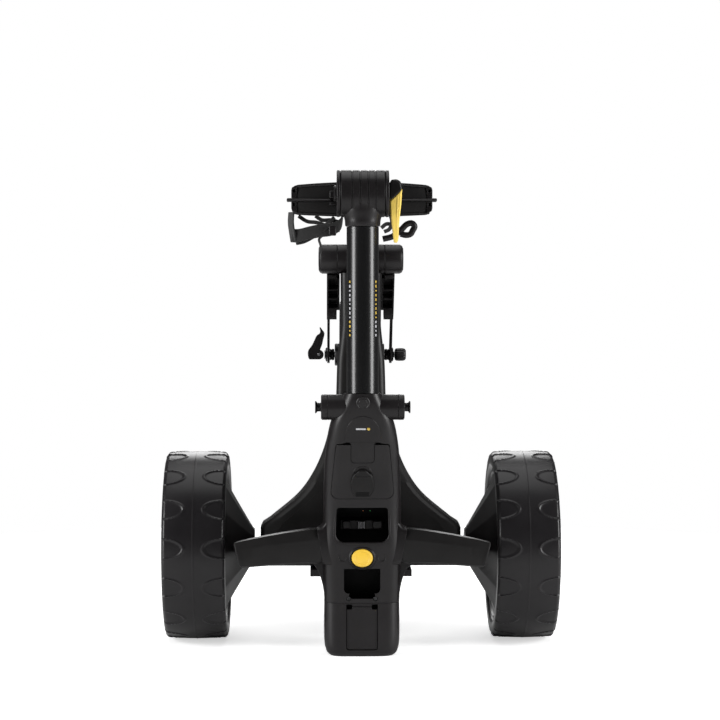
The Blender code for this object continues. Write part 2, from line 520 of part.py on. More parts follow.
def make_upper_frame():
    """Cheeks on the tee, bridge, cradle, upper tube, handle and console."""
    for side, name in ((-1, "left"), (1, "right")):
        ring = arc(TUBE_DEPTH, TEE_Z, TEE_RADIUS, 90, 270, 15) + [(-0.192, TEE_Z - 0.026), (-0.192, TEE_Z + 0.026)]
        low, high = sorted((side * 0.0338, side * 0.0388))
        cheek = outline("tee_cheek_" + name, ring, low, high, BLACK, "YZ")
        boolean(cheek, rod("cheek_bore_" + name, (low - 0.01, TUBE_DEPTH, TEE_Z), 0.03, 0.0078 + RUN, None, "X", 24,
                           cutters))
    block("cradle_bridge", (-0.0388, -0.1917, TEE_Z - 0.026), (0.0388, -0.1785, TEE_Z + 0.026), BLACK, 0.002)
    rows = []
    for i in range(9):
        x = -0.1033 + 0.2066 * i / 8
        share = (x / 0.1033) ** 2
        rows.append((x, -0.1782 + 0.012 * share, TEE_Z - 0.0320 + 0.0035 * share, TEE_Z + 0.0220 - 0.0045 * share))
    rings = [[at(x, d, low), at(x, d + 0.018, low), at(x, d + 0.018, high), at(x, d, high)] for x, d, low, high in rows]
    loft("bag_cradle", rings, BLACK)
    curve = bpy.data.curves.new("upper_tube", "CURVE")
    curve.dimensions = "3D"
    curve.bevel_depth = UPPER_TUBE_RADIUS
    curve.bevel_resolution = 3
    curve.use_fill_caps = True
    line = curve.splines.new("POLY")
    route = smooth_route(UPPER_ROUTE, 4)
    line.points.add(len(route) - 1)
    for point, (depth, z) in zip(line.points, route):
        point.co = (*at(0, depth, z), 1)
    obj = bpy.data.objects.new("upper_tube", curve)
    bpy.context.scene.collection.objects.link(obj)
    keep(obj, "upper_tube", GLOSS)
    block("console_housing", (-0.038, HANDLE_DEPTH - 0.016, HANDLE_Z + 0.0104), (0.038, HANDLE_DEPTH + 0.030, 0.2600), BLACK, 0.006)
    rod("handle_bar", (-0.1280, HANDLE_DEPTH, HANDLE_Z), 0.2560, 0.0100, BLACK)
    for side, name in ((-1, "left"), (1, "right")):
        start = 0.0420 if side > 0 else -0.1340
        sleeve("handle_grip_" + name, (start, HANDLE_DEPTH, HANDLE_Z), 0.0920, 0.0160, 0.0103, GRIP, steps=20, bevel=0.003)
    pocket = block("button_pocket", (-0.0076, HANDLE_DEPTH + 0.0260, 0.2324), (0.0076, HANDLE_DEPTH + 0.040, 0.2436), None,
                   0, cutters)
    boolean(bpy.data.objects["console_housing"], pocket)
    rod("speed_dial", (0, HANDLE_DEPTH + 0.0304, 0.2050), 0.0080, 0.0140, BLACK, "Y", 24)
    block("power_button", (-0.007, HANDLE_DEPTH + 0.0285, 0.2330), (0.007, HANDLE_DEPTH + 0.0330, 0.2430), GREY, 0.001)
    strap = [(-0.1113, 0.6680), (-0.1094, 0.6561), (-0.1063, 0.6333), (-0.1010, 0.6272), (-0.0789, 0.6333),
             (-0.0454, 0.6394), (-0.0300, 0.6520), (-0.0300, 0.6680), (-0.0454, 0.6561), (-0.0667, 0.6591),
             (-0.0987, 0.6531), (-0.1020, 0.6680)]
    outline("bag_strap", strap, -0.172, -0.150, WEBBING)
    buckle = [(0.0320, 0.6310), (0.0480, 0.6350), (0.0600, 0.6410), (0.0700, 0.6395), (0.0790, 0.6450), (0.0810, 0.6540),
              (0.0745, 0.6600), (0.0640, 0.6580), (0.0500, 0.6480), (0.0460, 0.6480), (0.0460, 0.6680), (0.0400, 0.6680),
              (0.0400, 0.6450), (0.0320, 0.6400)]
    outline("strap_buckle", buckle, -0.170, -0.156, BLACK)


def smooth_route(points, steps):
    """Points on a smooth curve through the route's own points."""
    path = [Vector(p) for p in points]
    path = [path[0] * 2 - path[1]] + path + [path[-1] * 2 - path[-2]]
    result = []
    for i in range(1, len(path) - 2):
        a, b, c, d = path[i - 1:i + 3]
        for k in range(steps):
            t = k / steps
            result.append(tuple(0.5 * (2 * b + (c - a) * t + (2 * a - 5 * b + 4 * c - d) * t * t
                                       + (3 * b - a - 3 * c + d) * t ** 3)))
    return result + [tuple(path[-2])]


make_body()
make_button()
make_tail()
make_arms()
make_tube_and_tee()
make_strap_barrel()
make_fold_ears()
make_chassis()
make_rear_wheels()
make_fork()
make_upper_frame()
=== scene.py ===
"""The looks of a folded, motorised golf trolley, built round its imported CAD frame."""
import json
import math

import bmesh
import bpy
import numpy as np
from mathutils import Matrix, Vector

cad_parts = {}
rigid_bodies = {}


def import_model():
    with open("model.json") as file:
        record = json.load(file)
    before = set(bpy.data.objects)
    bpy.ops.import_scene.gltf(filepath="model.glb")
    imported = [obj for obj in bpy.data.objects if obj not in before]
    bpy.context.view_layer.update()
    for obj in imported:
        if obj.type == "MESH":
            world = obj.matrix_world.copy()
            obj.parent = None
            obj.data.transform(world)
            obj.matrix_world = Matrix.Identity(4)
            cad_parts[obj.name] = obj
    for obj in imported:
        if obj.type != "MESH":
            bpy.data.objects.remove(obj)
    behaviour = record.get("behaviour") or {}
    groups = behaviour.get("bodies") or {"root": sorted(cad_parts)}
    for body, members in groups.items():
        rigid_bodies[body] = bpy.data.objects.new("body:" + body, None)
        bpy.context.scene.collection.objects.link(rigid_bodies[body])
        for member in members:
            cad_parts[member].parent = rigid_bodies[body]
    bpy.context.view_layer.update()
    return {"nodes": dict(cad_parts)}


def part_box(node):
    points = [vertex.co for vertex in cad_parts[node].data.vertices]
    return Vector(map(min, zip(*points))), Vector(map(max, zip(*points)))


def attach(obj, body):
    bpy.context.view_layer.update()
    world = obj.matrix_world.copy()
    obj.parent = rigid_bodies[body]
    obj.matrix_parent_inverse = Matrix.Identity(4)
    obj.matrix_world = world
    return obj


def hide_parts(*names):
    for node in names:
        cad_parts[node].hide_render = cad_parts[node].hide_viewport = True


for old in list(bpy.data.objects):
    bpy.data.objects.remove(old, do_unlink=True)
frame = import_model()


def centre(node):
    """Middle of a CAD node's box."""
    low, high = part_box(node)
    return (low + high) / 2


# Places read from the frame. Depths below are measured from the rear axle, as in the CAD model.
AXLE = centre("rear_axle")
TEE = centre("tee_pivot_bolt")
TUBE_DEPTH = TEE.y - AXLE.y
STRAP_BARREL_Z = centre("strap_barrel_left").z
KNUCKLE = centre("neck_knuckle")
FORK_DEPTH, FORK_Z = KNUCKLE.y - AXLE.y, KNUCKLE.z
FRONT = centre("front_tyre")
FRONT_DEPTH, FRONT_Z = FRONT.y - AXLE.y, FRONT.z
BUTTON = centre("release_button")
HANDLE = centre("handle_bar")
HANDLE_DEPTH, HANDLE_Z = HANDLE.y - AXLE.y, HANDLE.z
TEE_MIDDLE, FORK_MIDDLE = (0, TUBE_DEPTH, TEE.z), (0, FORK_DEPTH, FORK_Z)
FRONT_MIDDLE, BAR_MIDDLE = (0, FRONT_DEPTH, FRONT_Z), (0, HANDLE_DEPTH, HANDLE_Z)
TYRE_LOW, TYRE_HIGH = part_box("rear_tyre_right")
WHEEL_RADIUS = (TYRE_HIGH.z - TYRE_LOW.z) / 2
WHEEL_WIDTH = TYRE_HIGH.x - TYRE_LOW.x

# Body stations, as in the CAD model: height, half width, front depth, back depth, front corner radius.
BODY_STATIONS = ((0.0823, 0.0575, -0.184, -0.1, 0.021), (0.13, 0.059, -0.189, -0.102, 0.021),
    (0.17, 0.06, -0.194, -0.104, 0.021), (0.21, 0.059, -0.198, -0.108, 0.022),
    (0.25, 0.0585, -0.206, -0.116, 0.023), (0.29, 0.057, -0.22, -0.134, 0.025),
    (0.325, 0.054, -0.235, -0.152, 0.025), (0.36, 0.047, -0.246, -0.172, 0.023),
    (0.385, 0.035, -0.252, -0.19, 0.021), (0.403, 0.0275, -0.254, -0.204, 0.02))
TAIL_STATIONS = ((0.0000, 0.048, -0.179, -0.078, 0.018), (0.003, 0.0515, -0.182, -0.0745, 0.019),
    (0.008, 0.0545, -0.1845, -0.0715, 0.021), (0.025, 0.0575, -0.185, -0.07, 0.022),
    (0.0818, 0.0575, -0.184, -0.07, 0.021), )
# Upper edge of the flared chassis, right side: half width and height.
WING_CURVE = ((0.142, 0.201), (0.099, 0.237), (0.075, 0.27), (0.058, 0.308), (0.047, 0.35), (0.038, 0.394))
# Arm stations: distance from the middle, centre depth, half depth, low and high edge.
ARM_STATIONS = ((0.059, -0.17, 0.02, 0.142, 0.1955), (0.07, -0.173, 0.02, 0.142, 0.195),
    (0.09, -0.178, 0.019, 0.1425, 0.1935), (0.13, -0.187, 0.017, 0.1415, 0.188),
    (0.165, -0.197, 0.015, 0.1405, 0.1825), (0.188, -0.205, 0.013, 0.14, 0.178),
    (0.1935, -0.207, 0.011, 0.142, 0.176))
# Upper tube: depth and height along its route.
UPPER_ROUTE = ((-0.158, 0.701), (-0.08, 0.705), (0.000, 0.698), (0.07, 0.665), (0.118, 0.605), (0.138, 0.53),
    (0.142, 0.454), (0.142, 0.37), (0.136, 0.31), (0.128, 0.266))
UPPER_TUBE_RADIUS = 0.0148

SIDES = ((-1, "left"), (1, "right"))

objects = bpy.data.collections.new("trolley_looks")
cutters = bpy.data.collections.new("cutters")
for group in (objects, cutters):
    bpy.context.scene.collection.children.link(group)
cutters.hide_render = True


# --- materials
def plastic(name, dark, light, rough, grain=900.0, bump=0.25, depth=0.00012, sheen=0.0, metallic=0.0,
        mottle=22.0, specular=0.5, uneven=0.07):
    """Moulded surface: two close tones in soft patches, a fine grain in the bump, and uneven gloss."""
    mat = bpy.data.materials.new(name)
    mat.use_nodes = True
    nodes, links = mat.node_tree.nodes, mat.node_tree.links
    shader = nodes["Principled BSDF"]
    place = nodes.new("ShaderNodeTexCoord")
    patches = nodes.new("ShaderNodeTexNoise")
    patches.inputs["Scale"].default_value = mottle
    patches.inputs["Detail"].default_value = 6.0
    tone = nodes.new("ShaderNodeValToRGB")
    tone.color_ramp.elements[0].position, tone.color_ramp.elements[1].position = 0.35, 0.7
    tone.color_ramp.elements[0].color = (*dark, 1)
    tone.color_ramp.elements[1].color = (*light, 1)
    gloss = nodes.new("ShaderNodeMapRange")
    gloss.inputs["To Min"].default_value = rough - uneven
    gloss.inputs["To Max"].default_value = rough + uneven
    fine = nodes.new("ShaderNodeTexNoise")
    fine.inputs["Scale"].default_value = grain
    fine.inputs["Detail"].default_value = 3.0
    relief = nodes.new("ShaderNodeBump")
    relief.inputs["Strength"].default_value = bump
    relief.inputs["Distance"].default_value = depth
    links.new(place.outputs["Object"], patches.inputs["Vector"])
    links.new(place.outputs["Object"], fine.inputs["Vector"])
    links.new(patches.outputs["Fac"], tone.inputs["Fac"])
    links.new(patches.outputs["Fac"], gloss.inputs["Value"])
    links.new(fine.outputs["Fac"], relief.inputs["Height"])
    links.new(tone.outputs["Color"], shader.inputs["Base Color"])
    links.new(gloss.outputs["Result"], shader.inputs["Roughness"])
    links.new(relief.outputs["Normal"], shader.inputs["Normal"])
    shader.inputs["Metallic"].default_value = metallic
    shader.inputs["Specular IOR Level"].default_value = specular
    shader.inputs["Sheen Weight"].default_value = sheen
    return mat


def webbing(name, dark, light):
    """Woven strap: crossed waves for the weave."""
    mat = plastic(name, dark, light, 0.8, grain=1400.0, bump=0.5, depth=0.0002, sheen=0.3)
    nodes, links = mat.node_tree.nodes, mat.node_tree.links
    place = next(n for n in nodes if n.type == "TEX_COORD")
    relief = next(n for n in nodes if n.type == "BUMP")
    height = None
    for direction in ("X", "Z"):
        wave = nodes.new("ShaderNodeTexWave")
        wave.bands_direction = direction
        wave.inputs["Scale"].default_value = 260.0
        links.new(place.outputs["Object"], wave.inputs["Vector"])
        if height is None:
            height = wave.outputs["Fac"]
            continue
        mix = nodes.new("ShaderNodeMath")
        mix.operation = "MULTIPLY"
        links.new(height, mix.inputs[0])
        links.new(wave.outputs["Fac"], mix.inputs[1])
        links.new(mix.outputs["Value"], relief.inputs["Height"])
    return mat


BLACK = plastic("satin_black_plastic", (0.006, 0.005, 0.0054), (0.0095, 0.0082, 0.0088), 0.36, specular=0.3)
ARM_BLACK = plastic("arm_black_plastic", (0.005, 0.0046, 0.0046), (0.0078, 0.0072, 0.0072), 0.42, specular=0.22)
WING_BLACK = plastic("chassis_black_plastic", (0.005, 0.0046, 0.0046), (0.008, 0.0074, 0.0072),
    0.42, specular=0.26)
# Deepest black: the own colour of the seals, board and latch foot, and painted shade on the sheets and walls inside
# the window and throat.
DARK = plastic("deep_black_plastic_and_painted_shade", (0.0015, 0.0015, 0.0015), (0.0028, 0.0028, 0.0028), 0.6, specular=0.15)
TUBE = plastic("gloss_black_coat", (0.003, 0.003, 0.0032), (0.0042, 0.0042, 0.0046), 0.25, grain=60.0, bump=0.0,
    mottle=5.0, specular=0.45, uneven=0.01)
YELLOW = plastic("yellow_plastic", (0.8, 0.51, 0.05), (0.85, 0.56, 0.062), 0.36, bump=0.15)
LEVER_YELLOW = plastic("lever_yellow_plastic", (0.92, 0.66, 0.13), (0.95, 0.71, 0.16), 0.34, bump=0.12)
RUBBER = plastic("tyre_rubber", (0.0062, 0.0054, 0.0062), (0.0098, 0.0088, 0.0098), 0.33, grain=700.0,
    bump=0.25, mottle=14.0, specular=0.32)
SOFT_GRIP = plastic("soft_grip", (0.007, 0.007, 0.007), (0.011, 0.011, 0.011), 0.75, grain=600.0, bump=0.6,
    depth=0.0003, sheen=0.1)
STEEL = plastic("turned_steel", (0.3, 0.3, 0.31), (0.4, 0.4, 0.41), 0.32, grain=500.0, bump=0.1, metallic=1.0)
DARK_STEEL = plastic("dark_steel", (0.05, 0.05, 0.052), (0.08, 0.08, 0.082), 0.35, grain=500.0,
    bump=0.1, metallic=1.0)
GREY = plastic("grey_plastic", (0.2, 0.2, 0.21), (0.27, 0.27, 0.28), 0.42)
WHITE_INK = plastic("white_ink", (0.42, 0.42, 0.44), (0.5, 0.5, 0.52), 0.4, bump=0.05)
YELLOW_INK = plastic("yellow_ink", (0.5, 0.34, 0.05), (0.58, 0.4, 0.06), 0.4, bump=0.05)
ORANGE_LAMP = plastic("orange_lamp", (0.85, 0.22, 0.03), (0.95, 0.3, 0.05), 0.3, bump=0.05)
GREEN_LAMP = plastic("green_lamp", (0.05, 0.45, 0.1), (0.08, 0.55, 0.14), 0.3, bump=0.05)
STRAP = webbing("strap_webbing", (0.006, 0.006, 0.006), (0.011, 0.0105, 0.0105))


# --- shape tools
def at(x, depth, z):
    """A point from its distance right of the middle, its depth from the axle and its height."""
    return Vector((x, AXLE.y + depth, z))


def node_box(node):
    """Low and high corners of a CAD node, each as (x, depth, z)."""
    return [(corner.x, corner.y - AXLE.y, corner.z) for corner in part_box(node)]


def mesh_object(name, points, faces, mat, group=objects, angle=32):
    """An object from worked-out points and faces, with its faces turned outwards."""
    mesh = bpy.data.meshes.new(name)
    mesh.from_pydata([tuple(p) for p in points], [], faces)
    turned_out = bmesh.new()
    turned_out.from_mesh(mesh)
    bmesh.ops.recalc_face_normals(turned_out, faces=turned_out.faces)
    turned_out.to_mesh(mesh)
    turned_out.free()
    mesh.shade_smooth()
    mesh.set_sharp_from_angle(angle=math.radians(angle))
    obj = bpy.data.objects.new(name, mesh)
    group.objects.link(obj)
    if mat:
        mesh.materials.append(mat)
    return obj


def loft(name, rings, mat, group=objects, angle=32):
    """A closed body through rings of equal length."""
    count = len(rings[0])
    points = [p for ring in rings for p in ring]
    faces = [tuple(reversed(range(count)))]
    for level in range(len(rings) - 1):
        low, high = level * count, (level + 1) * count
        faces += [(low + i, low + (i + 1) % count, high + (i + 1) % count, high + i) for i in range(count)]
    faces.append(tuple(range((len(rings) - 1) * count, len(rings) * count)))
    return mesh_object(name, points, faces, mat, group, angle)


def ring_body(name, rings, mat, angle=32):
    """A body whose rings close on themselves, such as a tyre."""
    count, levels = len(rings[0]), len(rings)
    points = [p for ring in rings for p in ring]
    faces = []
    for level in range(levels):
        low, high = level * count, ((level + 1) % levels) * count
        faces += [(low + i, low + (i + 1) % count, high + (i + 1) % count, high + i) for i in range(count)]
    return mesh_object(name, points, faces, mat, objects, angle)


def soften(obj, width, segments=3, angle=35):
    """Rounds an object's edges."""
    step = obj.modifiers.new("rounded_edges", "BEVEL")
    step.width = width
    step.segments = segments
    step.limit_method = "ANGLE"
    step.angle_limit = math.radians(angle)
    step.harden_normals = False
    return obj


def block(name, low, high, mat, bevel=0.001, group=objects):
    """A box between two corners, with rounded edges."""
    (x0, d0, z0), (x1, d1, z1) = low, high
    rings = [[at(x0, d, z0), at(x1, d, z0), at(x1, d, z1), at(x0, d, z1)] for d in (d0, d1)]
    obj = loft(name, rings, mat, group)
    return soften(obj, bevel) if bevel else obj


def outline(name, points, low, high, mat, plane="XZ", group=objects, bevel=0.0):
    """A flat outline with a thickness. XZ outlines run along depth, YZ outlines along x."""
    if plane == "XZ":
        rings = [[at(a, level, b) for a, b in points] for level in (low, high)]
    else:
        rings = [[at(level, a, b) for a, b in points] for level in (low, high)]
    obj = loft(name, rings, mat, group)
    return soften(obj, bevel) if bevel else obj


TURNS = {"X": Matrix.Rotation(math.pi / 2, 4, "Y"), "Y": Matrix.Rotation(-math.pi / 2, 4, "X"),
    "Z": Matrix.Identity(4)}


def turned(name, profile, middle, mat, axis="X", steps=64, group=objects, angle=30):
    """A turned body from (radius, position along its axis) points."""
    spin = TURNS[axis]
    closed = profile[0][0] > 1e-6 and profile[-1][0] > 1e-6
    rings = []
    for radius, height in profile:
        ring = []
        for t in round_points(steps):
            ring.append(spin @ Vector((max(radius, 1e-5) * math.cos(t),
                max(radius, 1e-5) * math.sin(t), height)))
        rings.append([at(*middle) + p for p in ring])
    if closed:
        return ring_body(name, rings, mat, angle)
    return loft(name, rings, mat, group, angle)


def rod(name, start, length, radius, mat, axis="X", steps=32, ease=0.0006, group=objects):
    """A cylinder with eased rims from its start point along an axis."""
    profile = [(radius - ease, 0), (radius, ease), (radius, length - ease), (radius - ease, length)]
    spin = TURNS[axis]
    rings = [[at(*start) + spin @ Vector((r * math.cos(t), r * math.sin(t), h)) for t in round_points(steps)]
        for r, h in profile]
    return loft(name, rings, mat, group)


def bent_tube(name, routes, radius, mat, resolution=4):
    """Round wire or tube along one or more routes of (x, depth, z) points."""
    curve = bpy.data.curves.new(name, "CURVE")
    curve.dimensions = "3D"
    curve.bevel_depth = radius
    curve.bevel_resolution = resolution
    curve.use_fill_caps = True
    for route in routes:
        line = curve.splines.new("POLY")
        line.points.add(len(route) - 1)
        for point, place in zip(line.points, route):
            point.co = (*at(*place), 1)
        line.use_smooth = True
    curve.materials.append(mat)
    obj = bpy.data.objects.new(name, curve)
    objects.objects.link(obj)
    return obj


def boolean(target, cutter, operation="DIFFERENCE"):
    """Cuts, joins or intersects with a cutter."""
    step = target.modifiers.new(operation.lower(), "BOOLEAN")
    step.operation = operation
    step.object = cutter
    step.solver = "EXACT"
    cutter.hide_render = True
    cutter.hide_viewport = True
    return target


def bake(obj, angle=32):
    """Applies an object's modifiers and shades it again."""
    bpy.context.view_layer.update()
    graph = bpy.context.evaluated_depsgraph_get()
    mesh = bpy.data.meshes.new_from_object(obj.evaluated_get(graph))
    mesh.name = obj.name
    obj.modifiers.clear()
    obj.data = mesh
    mesh.shade_smooth()
    mesh.set_sharp_from_angle(angle=math.radians(angle))
    return obj


def arc(a, b, radius, start, stop, count):
    """Points on an arc, in degrees."""
    angles = [math.radians(start + (stop - start) * i / (count - 1)) for i in range(count)]
    return [(a + radius * math.cos(t), b + radius * math.sin(t)) for t in angles]


def rounded(half_width, low, high, radius, count=7):
    """A rectangle outline with round corners about the middle."""
    corners = ((half_width - radius, high - radius, 0), (radius - half_width, high - radius, 90),
        (radius - half_width, low + radius, 180), (half_width - radius, low + radius, 270))
    return [p for a, b, start in corners for p in arc(a, b, radius, start, start + 90, count)]


def smooth_route(points, steps):
    """Points on a smooth curve through the given ones."""
    path = [Vector(p) for p in points]
    path = [path[0] * 2 - path[1]] + path + [path[-1] * 2 - path[-2]]
    result = []
    for i in range(1, len(path) - 2):
        a, b, c, d = path[i - 1:i + 3]
        for k in range(steps):
            t = k / steps
            result.append(tuple(0.5 * (2 * b + (c - a) * t + (2 * a - 5 * b + 4 * c - d) * t * t
                + (3 * b - a - 3 * c + d) * t ** 3)))
    return result + [tuple(path[-2])]


def sided(profile, side, start=0.0):
    """A turned profile moved along its axis and flipped to one side."""
    return [(r, side * (start + h)) for r, h in profile]


def circled(middle, radius, angle):
    """Depth and height of a point on a circle about a (depth, height) middle."""
    return middle[0] + radius * math.cos(angle), middle[1] + radius * math.sin(angle)


def mirrored(right):
    """An outline from its right half."""
    return right + [(-x, z) for x, z in reversed(right)]


def round_points(count):
    """Angles of one whole turn."""
    return [2 * math.pi * i / count for i in range(count)]


def dense(stations, steps):
    """Stations joined by a smooth curve in every value."""
    values = np.array(stations, float)
    padded = np.vstack([2 * values[0] - values[1], values, 2 * values[-1] - values[-2]])
    result = []
    for i in range(1, len(padded) - 2):
        a, b, c, d = padded[i - 1:i + 3]
        for k in range(steps):
            t = k / steps
            result.append(0.5 * (2 * b + (c - a) * t + (2 * a - 5 * b + 4 * c - d) * t ** 2
                + (3 * b - a - 3 * c + d) * t ** 3))
    return [tuple(v) for v in result] + [tuple(values[-1])]


def body_ring(station, inset=0.0, back_extra=0.0):
    """A level section of the body: crowned front, round front corners, nearly square back ones."""
    z, half, front, back, corner = station
    half, front, back = half - inset, front + inset, back - inset + back_extra
    corner = max(corner - inset, 0.004)
    small = 0.006
    crown = 0.0012
    points = arc(half - small, back - small, small, 90, 0, 4)
    points += arc(half - corner, front + corner, corner, 0, -90, 12)
    flat = half - corner
    points += [(x, front - crown * (1 - (x / flat) ** 2)) for x in np.linspace(flat, -flat, 9)[1:-1]]
    points += arc(corner - half, front + corner, corner, -90, -180, 12)
    points += arc(small - half, back - small, small, 180, 90, 4)
    return [at(x, depth, z) for x, depth in points]


def skin(name, stations, inset=0.0, back_extra=0.0, mat=BLACK, group=objects, steps=5):
    """The body's outer form, or a copy set in from it."""
    return loft(name, [body_ring(s, inset, back_extra) for s in dense(stations, steps)], mat, group)


def front_at(z):
    """Front depth of the body at a height."""
    table = dense(BODY_STATIONS, 5)
    return float(np.interp(z, [s[0] for s in table], [s[2] for s in table])) - 0.0012


def ride(body, *pieces, slot="black_plastic", cad=""):
    """Pieces move with a CAD body; the slot is not used. The first may stand for CAD nodes."""
    for piece in pieces:
        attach(piece, body)
    if cad:
        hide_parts(*cad.split())


# --- rear wheels
LUGS = 15
TREAD_HALF = WHEEL_WIDTH / 2


def tread_radius(a):
    """Crown of the rear tyre at a distance from its middle."""
    share = abs(a) / TREAD_HALF
    return WHEEL_RADIUS - 0.0008 - 0.003 * share ** 2.2 - 0.005 * max(0.0, share - 0.88) ** 2 / 0.0144


def lug_height(a, angle):
    """Raised half-ellipse outlines that open at the tyre's shoulders, and the fine centre seam."""
    length, half_tall = 0.0345, 0.016
    pitch = 2 * math.pi / LUGS
    offset = 0.335 * pitch
    local = (angle - offset + pitch / 2) % pitch - pitch / 2
    across = (TREAD_HALF - abs(a)) / length
    around = local * WHEEL_RADIUS / half_tall
    reach = math.hypot(across, around)
    ridge = math.exp(-((reach - 1) * 21.0) ** 2)
    inside = 1.0 / (1.0 + math.exp((reach - 0.9) * 40.0))
    seam = math.exp(-(a / 0.0009) ** 2)
    return 0.0015 * ridge - 0.0006 * inside + 0.0006 * seam


def rear_tyre(name, side):
    """Crowned rear tyre with its tread worked into the surface."""
    around = 720
    across = np.linspace(-TREAD_HALF + 0.0006, TREAD_HALF - 0.0006, 85)
    mid = TYRE_LOW.x + TREAD_HALF
    rings = []
    bead = [(-TREAD_HALF + 0.006, 0.1225), (-TREAD_HALF + 0.0015, 0.126), (-TREAD_HALF + 0.0003, 0.131),
        (-TREAD_HALF + 0.0001, 0.137)]
    for t in round_points(around):
        section = list(bead)
        section += [(a, min(tread_radius(a) + lug_height(a, t), WHEEL_RADIUS)) for a in across]
        section += [(-a, r) for a, r in reversed(bead)]
        rings.append([at(side * (mid + a), *circled((0, AXLE.z), r, t)) for a, r in section])
    return ring_body(name, rings, RUBBER, 50)


def rear_hub(name, side):
    """Hub: a faceted cone inwards, five broad spokes in a dish outwards, and the rim."""
    spokes, around = 5, 180
    inner_x = TYRE_LOW.x
    rings = []
    for t in round_points(around):
        lobe = 0.5 + 0.5 * math.cos(spokes * t)
        rib = 1.0 / (1.0 + math.exp(-(lobe - 0.62) * 22.0))
        facet = math.cos(math.pi / 10) / math.cos((t % (2 * math.pi / 10)) - math.pi / 10)
        section = [(0.009, -0.0415), (0.0255, -0.0415), (0.027, -0.04), (0.034 * facet, -0.035),
            (0.07 * facet, -0.014), (0.099 * facet, 0.0025), (0.106, 0.006), (0.115, 0.007), (0.1165, 0.004),
            (0.1195, 0.004), (0.1204, 0.0065), (0.1204, WHEEL_WIDTH - 0.0085), (0.1195, WHEEL_WIDTH - 0.006),
            (0.1165, WHEEL_WIDTH - 0.006), (0.115, WHEEL_WIDTH - 0.01)]
        for radius, low, high in ((0.114, 0.03, 0.066), (0.109, 0.024, 0.067), (0.09, 0.014, 0.066),
                (0.065, 0.004, 0.065), (0.042, -0.006, 0.064)):
            section.append((radius, low + (high - low) * rib))
        section += [(0.033, 0.064), (0.03, 0.066), (0.0285, 0.068), (0.009, 0.068)]
        rings.append([at(side * (inner_x + h), *circled((0, AXLE.z), r, t)) for r, h in section])
    return ring_body(name, rings, BLACK, 38)


def wheel_cap(name, side):
    """Round cap over the axle's end, with a shallow ring and a push-release centre."""
    top = WHEEL_WIDTH - 0.0045
    profile = [(0.0, 0.0683), (0.027, 0.0683), (0.0275, 0.07), (0.026, 0.079), (0.0225, 0.084), (0.02, 0.085),
        (0.018, 0.0838), (0.013, 0.0838), (0.012, 0.086), (0.011, top), (0.0, top + 0.0008)]
    return turned(name, sided(profile, side, TYRE_LOW.x), (0, 0, AXLE.z), BLACK, "X", 64)


for side, name in SIDES:
    body = "rear_wheel_" + name
    ride(body, rear_tyre("tyre_" + name, side), slot="tyre", cad="rear_tyre_" + name)
    ride(body, rear_hub("hub_" + name, side), cad="rear_hub_" + name)
    ride(body, wheel_cap("wheel_cap_" + name, side))


# --- body
DOOR_TOP, DOOR_BOTTOM = 0.327, 0.243
TAB_HALF, TAB_BOTTOM = 0.018, 0.298


def door_outline(grow=0.0, lowered=0.0):
    """The battery door: wider at its foot, with a notch at its top for the body's tab."""
    top, foot = 0.04 + grow, 0.047 + grow
    low, high = DOOR_BOTTOM - grow, DOOR_TOP + grow - lowered
    tab, tab_low, round_tab, radius = TAB_HALF - grow, TAB_BOTTOM + grow, 0.006, 0.011
    right = arc(tab - round_tab, tab_low + round_tab, round_tab, -90, 0, 5) + [(tab, high)]
    right += arc(top - 0.004, high - 0.004, 0.004, 90, 5, 4) + arc(foot - radius, low + radius,
        radius, 0, -90, 7)
    return mirrored(right)


def window_outline(grow=0.0):
    """The socket window: nearly square corners at the top, well rounded ones at the foot."""
    low, high, half = 0.176 - grow, 0.229 + grow, 0.04 + grow
    foot, top = 0.013, 0.0045
    right = arc(half - foot, low + foot, foot, -90, 0, 9) + arc(half - 0.0012 - top, high - top, top, 0, 90, 5)
    return mirrored(right)


def throat_outline(grow=0.0):
    """The opening under the button, with stepped lower corners round the two screws."""
    half, top, low = 0.0276 + grow, 0.135 + grow, 0.088 - grow
    right = [(half, top)] + arc(half - 0.007, 0.1035, 0.007, 0, -78, 6) + arc(0.015, low + 0.0055,
        0.005, 40, -90, 6)
    return mirrored(right)


def make_body():
    """Body shell with its openings and grooves, and the window's lip."""
    inner = [(s[0] + (0.003 if i == 0 else -0.003 if i == len(BODY_STATIONS) - 1 else 0), *s[1:])
        for i, s in enumerate(BODY_STATIONS)]
    shell = skin("body_moulding", BODY_STATIONS)
    cuts = [skin("hollow", inner, 0.003, 0.02, None, cutters)]
    for name, points in (("door_hole", door_outline(0.0007)), ("window_hole", window_outline()),
            ("throat_hole", throat_outline())):
        cuts.append(outline(name, points, -0.28, -0.165, None, group=cutters))
    cuts.append(rod("button_hole", (0, -0.24, BUTTON.z), 0.07, 0.0166, None, "Y", 48, group=cutters))
    for side in (-1, 1):
        cuts.append(rod("screw_hole", (side * 0.0205, -0.23, 0.0885), 0.06, 0.0036, None, "Y",
            24, group=cutters))
        slot_points = [(side * a, b) for a, b in ((0.0186, 0.3235), (0.0186, 0.33), (0.026, 0.3295),
            (0.0385, 0.3262), (0.0385, 0.324))]
        cuts.append(outline("door_slot", slot_points, -0.28, -0.18, None, group=cutters))
    for cutter in cuts:
        boolean(shell, cutter)
    bake(shell)
    soften(shell, 0.0007, 2, 40)
    ride("body", shell, cad="body_shell")

    lip = outline("window_lip", window_outline(0.0035), -0.203, -0.195, BLACK)
    boolean(lip, outline("window_lip_hole", window_outline(0.0002), -0.23, -0.165, None, group=cutters))
    bake(lip)
    lip.matrix_world = Matrix.Translation((0, 0.0045, 0))
    ride("body", soften(lip, 0.0008, 2))


